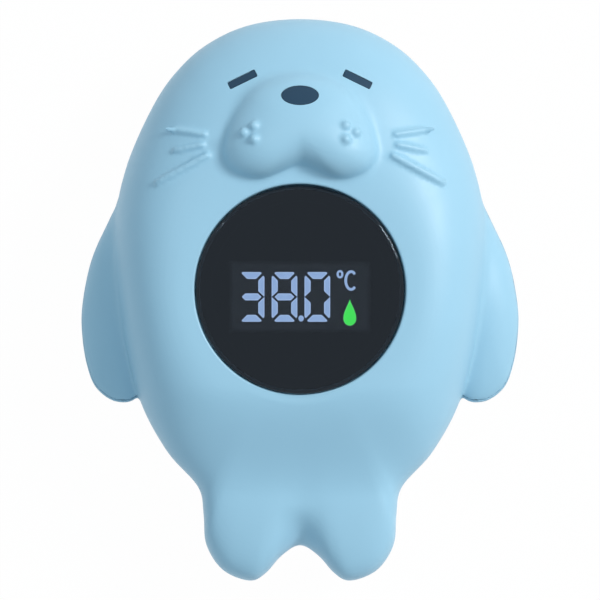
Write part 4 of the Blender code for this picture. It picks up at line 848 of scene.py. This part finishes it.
def doorPiece():
    piece = flatPlate("batteryDoor", [roundedRectangle(door["width"], door["length"], door["corner"], 10)],
                      door["low"], door["high"], door["edge"], 2)
    wide, long = bay["width"] - door["lipGap"], bay["length"] - door["lipGap"]
    lip = [roundedRectangle(wide - 2 * wall, long - 2 * wall, door["lipCorner"] - wall, 4)
           for wall in (0, door["lipWall"])]
    combine(piece, flatPlate("doorLip", lip, door["high"] - door["lipGap"], door["lipTop"]), "UNION")
    for place in doorScrewPlaces:
        wide, narrow = doorScrew["head"] + doorScrew["gap"], doorScrew["shank"] + doorScrew["gap"]
        profile = holeProfile(wide, narrow, doorScrew["seat"], through, holeMouth["deep"], door["low"],
                              holeMouth["wide"])
        combine(piece, spunForm("doorHole", profile, place, 40))
    for index in range(door["grooves"]):
        y = door["pitch"] * (index - (door["grooves"] - 1) / 2)
        half = door["grooveWidth"] / 2
        corner = half - 0.001 * mm  # a shade less than half, so that no two points meet
        outline = [(x, y + up) for x, up in roundedRectangle(door["grooveLength"], 2 * half, corner, 8)]
        combine(piece, flatPlate("groove", [outline], -through, door["low"] + door["grooveDepth"],
                                 door["grooveEdge"], 2))
    return piece


# screws: the share of the head or shank that each feature takes
screw = {"tip": 0.45, "rim": 0.4, "fall": 0.1, "round": 0.04, "flat": 0.4, "edge": 0.05 * mm, "sides": 48,
         "crossLong": 1.05, "crossWide": 0.26, "crossDeep": 1.1, "sunk": 0.3 * mm}


def screwModel(name, seat, sizes):
    # pan head with a cross recess, head down
    shank, length = sizes["shank"], sizes["length"]
    head, headHeight = sizes["head"], sizes["headHeight"]
    low = seat - headHeight
    pan = [(head - screw["edge"], seat), (head, seat - screw["edge"]), (head, seat - headHeight * screw["rim"])]
    pan += [(head * (1 - screw["round"] * step * step), seat - headHeight * (screw["rim"] + screw["fall"] * step))
            for step in range(1, 6)]
    profile = [(0, seat + length), (shank * screw["tip"], seat + length), (shank, seat + length - shank),
               (shank, seat)] + pan + [(head * screw["flat"], low), (0, low)]
    piece = spunForm(name, profile, (0, 0), screw["sides"])
    long, wide, deep = head * screw["crossLong"], head * screw["crossWide"], headHeight * screw["crossDeep"]
    cross = blockForm("cross", (long, wide, deep), (0, 0, low))
    combine(cross, blockForm("crossOther", (wide, long, deep), (0, 0, low)), "UNION")
    combine(piece, cross)
    return piece


def screwSet(prefix, node, places, seat, sizes):
    model = screwModel(prefix + "1", seat - screw["sunk"], sizes)
    pieces = []
    for index, place in enumerate(places):
        pick(model)
        if index < len(places) - 1:
            bpy.ops.object.duplicate()
        copy = bpy.context.active_object
        copy.name = copy.data.name = f"{prefix}{index + 1}"
        copy.location = (*place, 0)
        settle(copy)
        pieces.append((copy, f"{node}{index + 1}"))
    return pieces


def probePiece():
    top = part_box("probe_cap")[1][2]
    wall, radius, tip, dome = probe["wall"], probe["radius"], probe["tip"], probe["dome"]
    flangeLow = top - wall
    inner, flange, edge = radius - wall, probe["flange"], probe["edge"]
    floorZ = tip + wall
    inside = [(0, floorZ), (inner * 0.7, floorZ + dome / 3), (inner, floorZ + dome), (inner, top - edge / 3)]
    rimPoints = [(inner + probe["lip"], top), (flange - edge, top), (flange, top - edge),
                 (flange, flangeLow + edge), (flange - edge, flangeLow), (radius, flangeLow)]
    outside = [(radius * math.cos(turn), tip + dome * (1 - math.sin(turn)))
               for turn in np.linspace(0, math.pi / 2, 10)]
    return spunForm("probeCap", inside + rimPoints + outside, probePlace, 64)


def pinPiece(name, place):
    head, bevel, edge = pin["seat"] - pin["sunk"], pin["bevel"], pin["edge"]
    shank, wide, tall = pin["shank"], pin["head"], pin["headHeight"]
    profile = [(0, pin["length"]), (shank - bevel, pin["length"]), (shank, pin["length"] - bevel), (shank, head)]
    profile += [(wide - edge, head), (wide, head - edge)]
    profile += [(wide * math.cos(turn), head - tall * (0.35 + 0.65 * math.sin(turn))) for turn in
                np.linspace(0, math.pi / 2, 9)]
    return spunForm(name, profile, place, pin["sides"])
# finishes: one group for moulded surfaces and one for metal, each placed in the materials that use it

def newGroup(name, inputs, outputs):
    tree = bpy.data.node_groups.new(name, "ShaderNodeTree")
    for socket, kind, value in inputs:
        made = tree.interface.new_socket(socket, in_out="INPUT", socket_type=kind)
        made.default_value = value
    for socket, kind in outputs:
        tree.interface.new_socket(socket, in_out="OUTPUT", socket_type=kind)
    return tree, tree.nodes.new("NodeGroupInput"), tree.nodes.new("NodeGroupOutput")


def addMath(tree, operation, first, second=None, third=None):
    node = tree.nodes.new("ShaderNodeMath")
    node.operation = operation
    for socket, value in zip(node.inputs, (first, second, third)):
        if value is None:
            continue
        if isinstance(value, (int, float)):
            socket.default_value = value
        else:
            tree.links.new(value, socket)
    return node.outputs[0]


def addNoise(tree, coordinates, scale, detail=2.0, roughness=0.5):
    node = tree.nodes.new("ShaderNodeTexNoise")
    node.inputs["Detail"].default_value = detail
    node.inputs["Roughness"].default_value = roughness
    if isinstance(scale, (int, float)):
        node.inputs["Scale"].default_value = scale
    else:
        tree.links.new(scale, node.inputs["Scale"])
    tree.links.new(coordinates, node.inputs["Vector"])
    return node.outputs["Fac"]


def shadedColor(tree, color, shade):
    # multiplies a colour by a value that is 1 on average
    node = tree.nodes.new("ShaderNodeVectorMath")
    node.operation = "SCALE"
    tree.links.new(color, node.inputs[0])
    tree.links.new(shade, node.inputs["Scale"])
    return node.outputs[0]


def mixedColor(tree, first, second, factor):
    # the first where the factor is 0, the second where it is 1
    node = tree.nodes.new("ShaderNodeMix")
    node.data_type = "RGBA"
    for socket, color in (("A", first), ("B", second)):
        if isinstance(color, tuple):
            node.inputs[socket].default_value = color
        else:
            tree.links.new(color, node.inputs[socket])
    tree.links.new(factor, node.inputs["Factor"])
    return node.outputs["Result"]


def placeAndAxes(tree):
    place = tree.nodes.new("ShaderNodeTexCoord").outputs["Object"]
    split = tree.nodes.new("ShaderNodeSeparateXYZ")
    tree.links.new(place, split.inputs[0])
    return place, split.outputs["X"], split.outputs["Y"], split.outputs["Z"]


def lengthOf(tree, first, second):
    squares = addMath(tree, "MULTIPLY_ADD", first, first, addMath(tree, "MULTIPLY", second, second))
    return addMath(tree, "SQRT", squares)


def mouldedGroup():
    # soft mottling of the colour, a gloss that varies, and the fine grain of the mould
    tree, start, end = newGroup(
        "mouldedSurface",
        [("Color", "NodeSocketColor", (0.5, 0.5, 0.5, 1)), ("Roughness", "NodeSocketFloat", 0.5),
         ("Mottle", "NodeSocketFloat", 0.04), ("Mottle Scale", "NodeSocketFloat", 90.0),
         ("Grain Scale", "NodeSocketFloat", 3200.0)],
        [("Color", "NodeSocketColor"), ("Roughness", "NodeSocketFloat"), ("Height", "NodeSocketFloat")])
    place = tree.nodes.new("ShaderNodeTexCoord").outputs["Object"]
    patch = addNoise(tree, place, start.outputs["Mottle Scale"], 3)
    shade = addMath(tree, "MULTIPLY_ADD", addMath(tree, "SUBTRACT", patch, 0.5), start.outputs["Mottle"], 1.0)
    tree.links.new(shadedColor(tree, start.outputs["Color"], shade), end.inputs["Color"])
    smear = addNoise(tree, place, 260.0, 2)
    gloss = addMath(tree, "MULTIPLY_ADD", addMath(tree, "SUBTRACT", smear, 0.5), 0.12, start.outputs["Roughness"])
    tree.links.new(gloss, end.inputs["Roughness"])
    grain = addNoise(tree, place, start.outputs["Grain Scale"], 2, 0.6)
    orange = addNoise(tree, place, 620.0, 1)
    tree.links.new(addMath(tree, "MULTIPLY_ADD", orange, 0.7, grain), end.inputs["Height"])
    return tree


def metalGroup():
    # small scuffs and a duller film, both from noise
    tree, start, end = newGroup(
        "turnedMetal",
        [("Color", "NodeSocketColor", (0.7, 0.7, 0.7, 1)), ("Roughness", "NodeSocketFloat", 0.3),
         ("Scuff Scale", "NodeSocketFloat", 900.0)],
        [("Color", "NodeSocketColor"), ("Roughness", "NodeSocketFloat"), ("Height", "NodeSocketFloat")])
    place = tree.nodes.new("ShaderNodeTexCoord").outputs["Object"]
    film = addNoise(tree, place, 400.0, 3)
    tree.links.new(shadedColor(tree, start.outputs["Color"], addMath(tree, "MULTIPLY_ADD", film, -0.24, 1.1)),
                   end.inputs["Color"])
    scuff = addNoise(tree, place, start.outputs["Scuff Scale"], 4, 0.7)
    gloss = addMath(tree, "MULTIPLY_ADD", addMath(tree, "SUBTRACT", scuff, 0.5), 0.3, start.outputs["Roughness"])
    tree.links.new(gloss, end.inputs["Roughness"])
    tree.links.new(scuff, end.inputs["Height"])
    return tree


surfaceGroup, turnedGroup = mouldedGroup(), metalGroup()


def newMaterial(name):
    material = bpy.data.materials.new(name)
    material.use_nodes = True
    return material, material.node_tree, material.node_tree.nodes["Principled BSDF"]


def placedGroup(tree, group, **values):
    node = tree.nodes.new("ShaderNodeGroup")
    node.node_tree = group
    for key, value in values.items():
        node.inputs[key.replace("_", " ")].default_value = value
    return node


def addBump(tree, shader, height, strength, distance):
    bump = tree.nodes.new("ShaderNodeBump")
    bump.inputs["Strength"].default_value = strength
    bump.inputs["Distance"].default_value = distance
    tree.links.new(height, bump.inputs["Height"])
    tree.links.new(bump.outputs["Normal"], shader.inputs["Normal"])


def linkSurface(tree, shader, surface, height, strength, distance):
    tree.links.new(surface.outputs["Color"], shader.inputs["Base Color"])
    tree.links.new(surface.outputs["Roughness"], shader.inputs["Roughness"])
    addBump(tree, shader, height, strength, distance)


def groupedMaterial(name, group, bump, shaderValues, **values):
    material, tree, shader = newMaterial(name)
    surface = placedGroup(tree, group, **values)
    linkSurface(tree, shader, surface, surface.outputs["Height"], *bump)
    for key, value in shaderValues.items():
        shader.inputs[key].default_value = value
    return material


plastics = {
    # colour, roughness, mottle, mottle scale, grain scale, bump strength
    "bluePlastic": ((0.345, 0.59, 0.74, 1), 0.46, 0.05, 90.0, 3200.0, 0.12),
    "slateInlay": ((0.012, 0.046, 0.088, 1), 0.45, 0.12, 300.0, 4200.0, 0.12),
    "blackPlastic": ((0.012, 0.013, 0.015, 1), 0.6, 0.2, 300.0, 2600.0, 0.3),
    "softSilicone": ((0.62, 0.66, 0.69, 1), 0.7, 0.08, 220.0, 1800.0, 0.25),
    "blackFoam": ((0.02, 0.021, 0.023, 1), 0.9, 0.5, 1400.0, 2200.0, 0.9),
    "redCover": ((0.55, 0.03, 0.03, 1), 0.45, 0.1, 300.0, 2600.0, 0.2),
    "blackCover": ((0.018, 0.018, 0.02, 1), 0.42, 0.15, 300.0, 2600.0, 0.2),
    "chipResin": ((0.016, 0.016, 0.017, 1), 0.7, 0.3, 500.0, 5200.0, 0.5),
}
specularLevels = {"slateInlay": 0.3, "blackPlastic": 0.08}  # the others keep the shader's own
metals = {
    # colour, roughness, scuff scale
    "polishedSteel": ((0.66, 0.66, 0.65, 1), 0.24, 900.0),
    "platedSteel": ((0.52, 0.52, 0.53, 1), 0.36, 1500.0),
    "springSteel": ((0.42, 0.42, 0.43, 1), 0.32, 2400.0),
}
bumps = {"plastic": 0.03 * mm, "metal": (0.15, 0.02 * mm), "guide": (0.1, 0.02 * mm), "track": (0.4, 0.04 * mm)}
materials = {}
for finish, (color, rough, mottle, mottleScale, grainScale, strength) in plastics.items():
    special = {"Specular IOR Level": specularLevels[finish]} if finish in specularLevels else {}
    materials[finish] = groupedMaterial(finish, surfaceGroup, (strength, bumps["plastic"]), special, Color=color,
                                        Roughness=rough, Mottle=mottle, Mottle_Scale=mottleScale,
                                        Grain_Scale=grainScale)
for finish, (color, rough, scuff) in metals.items():
    materials[finish] = groupedMaterial(finish, turnedGroup, bumps["metal"], {"Metallic": 1.0}, Color=color,
                                        Roughness=rough, Scuff_Scale=scuff)


lensTint = {
    "window": (12.6 * mm, 6.4 * mm), "fade": 0.8 * mm, "ring": 17.7 * mm, "dark": (0.012, 0.014, 0.017, 1),
    "clear": (0.31, 0.33, 0.35, 1), "edge": (0.2, 0.34, 0.42, 1), "shine": (0.64, 0.8, 1, 1), "index": 1.42,
}


def lensMaterial():
    # smoked acrylic: nearly opaque, with a clearer window over the figures and a paler edge
    material, tree, shader = newMaterial("smokedAcrylic")
    place, x, y, z = placeAndAxes(tree)
    across = addMath(tree, "SUBTRACT", lensTint["window"][0], addMath(tree, "ABSOLUTE", x))
    along = addMath(tree, "SUBTRACT", y, display["y"])
    along = addMath(tree, "SUBTRACT", lensTint["window"][1], addMath(tree, "ABSOLUTE", along))
    inside = addMath(tree, "MULTIPLY", addMath(tree, "MINIMUM", across, along), 1 / lensTint["fade"])
    mask = addMath(tree, "MINIMUM", addMath(tree, "MAXIMUM", inside, 0.0), 1.0)
    tint = mixedColor(tree, lensTint["dark"], lensTint["clear"], mask)
    reach = lengthOf(tree, x, addMath(tree, "SUBTRACT", y, lensY))
    ring = addMath(tree, "GREATER_THAN", reach, lensTint["ring"])
    tree.links.new(mixedColor(tree, tint, lensTint["edge"], ring), shader.inputs["Base Color"])
    haze = addNoise(tree, place, 140.0, 3)
    tree.links.new(addMath(tree, "MULTIPLY_ADD", haze, 0.03, 0.02), shader.inputs["Roughness"])
    shader.inputs["Transmission Weight"].default_value = 1.0
    shader.inputs["IOR"].default_value = lensTint["index"]
    shader.inputs["Specular Tint"].default_value = lensTint["shine"]
    return material


def litMaterial(name, face, edge, base):
    # light comes out a little brighter where a figure's edge turns down
    material, tree, shader = newMaterial(name)
    coordinates = tree.nodes.new("ShaderNodeTexCoord")
    split = tree.nodes.new("ShaderNodeSeparateXYZ")
    tree.links.new(coordinates.outputs["Normal"], split.inputs[0])
    facing = addMath(tree, "POWER", addMath(tree, "MAXIMUM", split.outputs["Z"], 0.0), 3.0)
    cloud = addNoise(tree, coordinates.outputs["Object"], 700.0, 2)
    lit = shadedColor(tree, mixedColor(tree, edge, face, facing), addMath(tree, "MULTIPLY_ADD", cloud, 0.16, 0.92))
    tree.links.new(lit, shader.inputs["Emission Color"])
    shader.inputs["Emission Strength"].default_value = 1.0
    surface = placedGroup(tree, surfaceGroup, Color=base, Roughness=0.55, Mottle=0.06, Mottle_Scale=300.0)
    linkSurface(tree, shader, surface, surface.outputs["Height"], *bumps["guide"])
    return material


boardLook = {"resist": (0.012, 0.13, 0.05, 1), "track": (0.05, 0.27, 0.11, 1), "scale": 420.0, "trackWidth": 0.09}


def boardMaterial():
    # green resist with paler tracks under it
    material, tree, shader = newMaterial("boardGreen")
    cells = tree.nodes.new("ShaderNodeTexVoronoi")
    cells.feature = "DISTANCE_TO_EDGE"
    cells.inputs["Scale"].default_value = boardLook["scale"]
    tree.links.new(placeAndAxes(tree)[0], cells.inputs["Vector"])
    track = addMath(tree, "LESS_THAN", cells.outputs["Distance"], boardLook["trackWidth"])
    surface = placedGroup(tree, surfaceGroup, Roughness=0.35, Mottle=0.15, Mottle_Scale=260.0)
    tree.links.new(mixedColor(tree, boardLook["resist"], boardLook["track"], track), surface.inputs["Color"])
    linkSurface(tree, shader, surface, track, *bumps["track"])
    return material


cellLook = {"middle": (5.55 * mm, 9.85 * mm), "wrapFrom": 4.9 * mm, "bandFrom": 14 * mm,
            "wrap": (0.03, 0.032, 0.036, 1), "band": (0.45, 0.19, 0.06, 1), "can": (0.6, 0.6, 0.6, 1)}


def cellMaterial():
    # printed wrap round the can, bare metal at the ends
    material, tree, shader = newMaterial("cellWrap")
    place, x, y, z = placeAndAxes(tree)
    across = addMath(tree, "SUBTRACT", addMath(tree, "ABSOLUTE", x), cellLook["middle"][0])
    reach = lengthOf(tree, across, addMath(tree, "SUBTRACT", z, cellLook["middle"][1]))
    bare = addMath(tree, "LESS_THAN", reach, cellLook["wrapFrom"])
    band = addMath(tree, "GREATER_THAN", addMath(tree, "ABSOLUTE", y), cellLook["bandFrom"])
    color = mixedColor(tree, mixedColor(tree, cellLook["wrap"], cellLook["band"], band), cellLook["can"], bare)
    surface = placedGroup(tree, surfaceGroup, Roughness=0.32, Mottle=0.08, Mottle_Scale=300.0)
    tree.links.new(color, surface.inputs["Color"])
    tree.links.new(bare, shader.inputs["Metallic"])
    linkSurface(tree, shader, surface, surface.outputs["Height"], *bumps["guide"])
    return material


materials["smokedAcrylic"] = lensMaterial()
materials["litFigures"] = litMaterial("litFigures", (0.74, 1.1, 1.78, 1), (1.4, 1.7, 2.3, 1), (0.2, 0.27, 0.4, 1))
materials["litDrop"] = litMaterial("litDrop", (0.1, 2.1, 0.18, 1), (0.5, 2.5, 0.6, 1), (0.04, 0.4, 0.06, 1))
materials["boardGreen"] = boardMaterial()
materials["cellWrap"] = cellMaterial()
print("materials made:", len(materials))

frontShell, backShell, inlays = shells()
dressed(frontShell, "bluePlastic", "blue_plastic", "front_shell", angle=40)
dressed(backShell, "bluePlastic", "blue_plastic", "back_shell", angle=40)
for piece, node in inlays:
    dressed(piece, "slateInlay", "slate_plastic", node)
dressed(lensPiece(), "smokedAcrylic", "smoked_acrylic", "display_lens", angle=25)
displayHousing, segmentGuide, dropGuide = displayPieces()
dressed(displayHousing, "blackPlastic", "black_plastic", "display_housing")
dressed(segmentGuide, "litFigures", "light_guide", "segment_guide", angle=25)
dressed(dropGuide, "litDrop", "green_guide", "drop_guide", angle=25)
print("display made")
dressed(doorPiece(), "bluePlastic", "blue_plastic", "battery_door")
for piece, node in (screwSet("housingScrew", "housing_screw_", shellScrewPlaces, shellScrew["seat"], shellScrew)
                    + screwSet("doorScrew", "door_screw_", doorScrewPlaces, doorScrew["seat"], doorScrew)):
    dressed(piece, "platedSteel", "steel", node)
dressed(probePiece(), "polishedSteel", "steel", "probe_cap")
for side, place in zip(("left", "right"), pinPlaces):
    dressed(pinPiece("waterContact" + side.capitalize(), place), "polishedSteel", "steel", "water_contact_" + side)
print("door, screws, probe and contacts made")

# the pieces inside keep their CAD shape and get their own finish
keptFinishes = {
    "softSilicone": ("shell_gasket", "door_gasket", "probe_seal"),
    "blackFoam": ("lens_gasket",),
    "boardGreen": ("circuit_board",),
    "chipResin": ("controller_chip", "probe_sensor"),
    "cellWrap": ("battery_left", "battery_right"),
    "springSteel": ("battery_spring_left", "battery_spring_right"),
    "platedSteel": ("bridge_plate", "terminal_left", "terminal_right", "board_screw_1", "board_screw_2",
                    "board_screw_3", "board_screw_4"),
    "redCover": ("battery_wire_right", "sensor_wire_right", "contact_wire_right"),
    "blackCover": ("battery_wire_left", "sensor_wire_left", "contact_wire_left"),
}
for finish, nodes in keptFinishes.items():
    for node in nodes:
        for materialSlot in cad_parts[node].material_slots:
            materialSlot.material = materials[finish]
print("inner pieces finished")

# camera, light and floor

view = {"distance": 3, "widthAtParting": 106.76 * mm, "sensor": 36, "clip": 10}
bpy.ops.object.camera_add(location=(0, 0, partingZ + view["distance"]), rotation=(0, 0, 0))
camera = bpy.context.active_object
camera.data.sensor_width = view["sensor"]
camera.data.lens = view["sensor"] * view["distance"] / view["widthAtParting"]
camera.data.clip_end = view["clip"]
bpy.context.scene.camera = camera
bpy.context.scene.view_settings.view_transform = "Standard"

lampAim = Vector((0, 0, 0.02))
lamps = {
    # place, size, power, colour
    "keyLight": ((0.78, 0.42, 0.84), 0.34, 10.2, (1, 0.985, 0.96)),
    "rimLight": ((-0.5, 0.4, 1.2), 0.08, 0.9, (1, 1, 1)),
}
for name, (place, size, power, color) in lamps.items():
    deselectAll()
    bpy.ops.object.light_add(type="AREA", location=place)
    lamp = bpy.context.active_object
    lamp.name = name
    lamp.data.size = size
    lamp.data.energy = power
    lamp.data.color = color
    lamp.rotation_euler = (lampAim - Vector(place)).to_track_quat("-Z", "Y").to_euler()


def backdropShare(tree, share):
    # 1 for what the camera, a reflection or a clear piece sees, times a share
    path = tree.nodes.new("ShaderNodeLightPath")
    seen = addMath(tree, "MAXIMUM", path.outputs["Is Camera Ray"], path.outputs["Is Glossy Ray"])
    seen = addMath(tree, "MAXIMUM", seen, path.outputs["Is Transmission Ray"])
    return addMath(tree, "MULTIPLY", seen, share)


studio = {"ambient": (0.7, 0.88, 1, 1), "ambientStrength": 0.53, "white": (1, 1, 1, 1), "floorShare": 0.985,
          "floorSize": 4, "floorColor": (0.85, 0.85, 0.85, 1), "floorRoughness": 0.9}
world = bpy.data.worlds.new("studio")
bpy.context.scene.world = world
world.use_nodes = True
tree = world.node_tree
ambient = tree.nodes["Background"]
ambient.inputs["Color"].default_value = studio["ambient"]
ambient.inputs["Strength"].default_value = studio["ambientStrength"]
white = tree.nodes.new("ShaderNodeBackground")
white.inputs["Color"].default_value = studio["white"]
mixer = tree.nodes.new("ShaderNodeMixShader")
tree.links.new(backdropShare(tree, 1.0), mixer.inputs["Fac"])
tree.links.new(ambient.outputs[0], mixer.inputs[1])
tree.links.new(white.outputs[0], mixer.inputs[2])
tree.links.new(mixer.outputs[0], tree.nodes["World Output"].inputs["Surface"])

deselectAll()
bpy.ops.mesh.primitive_plane_add(size=studio["floorSize"], location=(0, 0, 0))
floor = settle(named("floor"))
floorMaterial, tree, shader = newMaterial("paleFloor")
shader.inputs["Base Color"].default_value = studio["floorColor"]
shader.inputs["Roughness"].default_value = studio["floorRoughness"]
glow = tree.nodes.new("ShaderNodeEmission")
mixer = tree.nodes.new("ShaderNodeMixShader")
tree.links.new(backdropShare(tree, studio["floorShare"]), mixer.inputs["Fac"])
tree.links.new(shader.outputs[0], mixer.inputs[1])
tree.links.new(glow.outputs[0], mixer.inputs[2])
tree.links.new(mixer.outputs[0], tree.nodes["Material Output"].inputs["Surface"])
floor.data.materials.append(floorMaterial)
print("stage set")
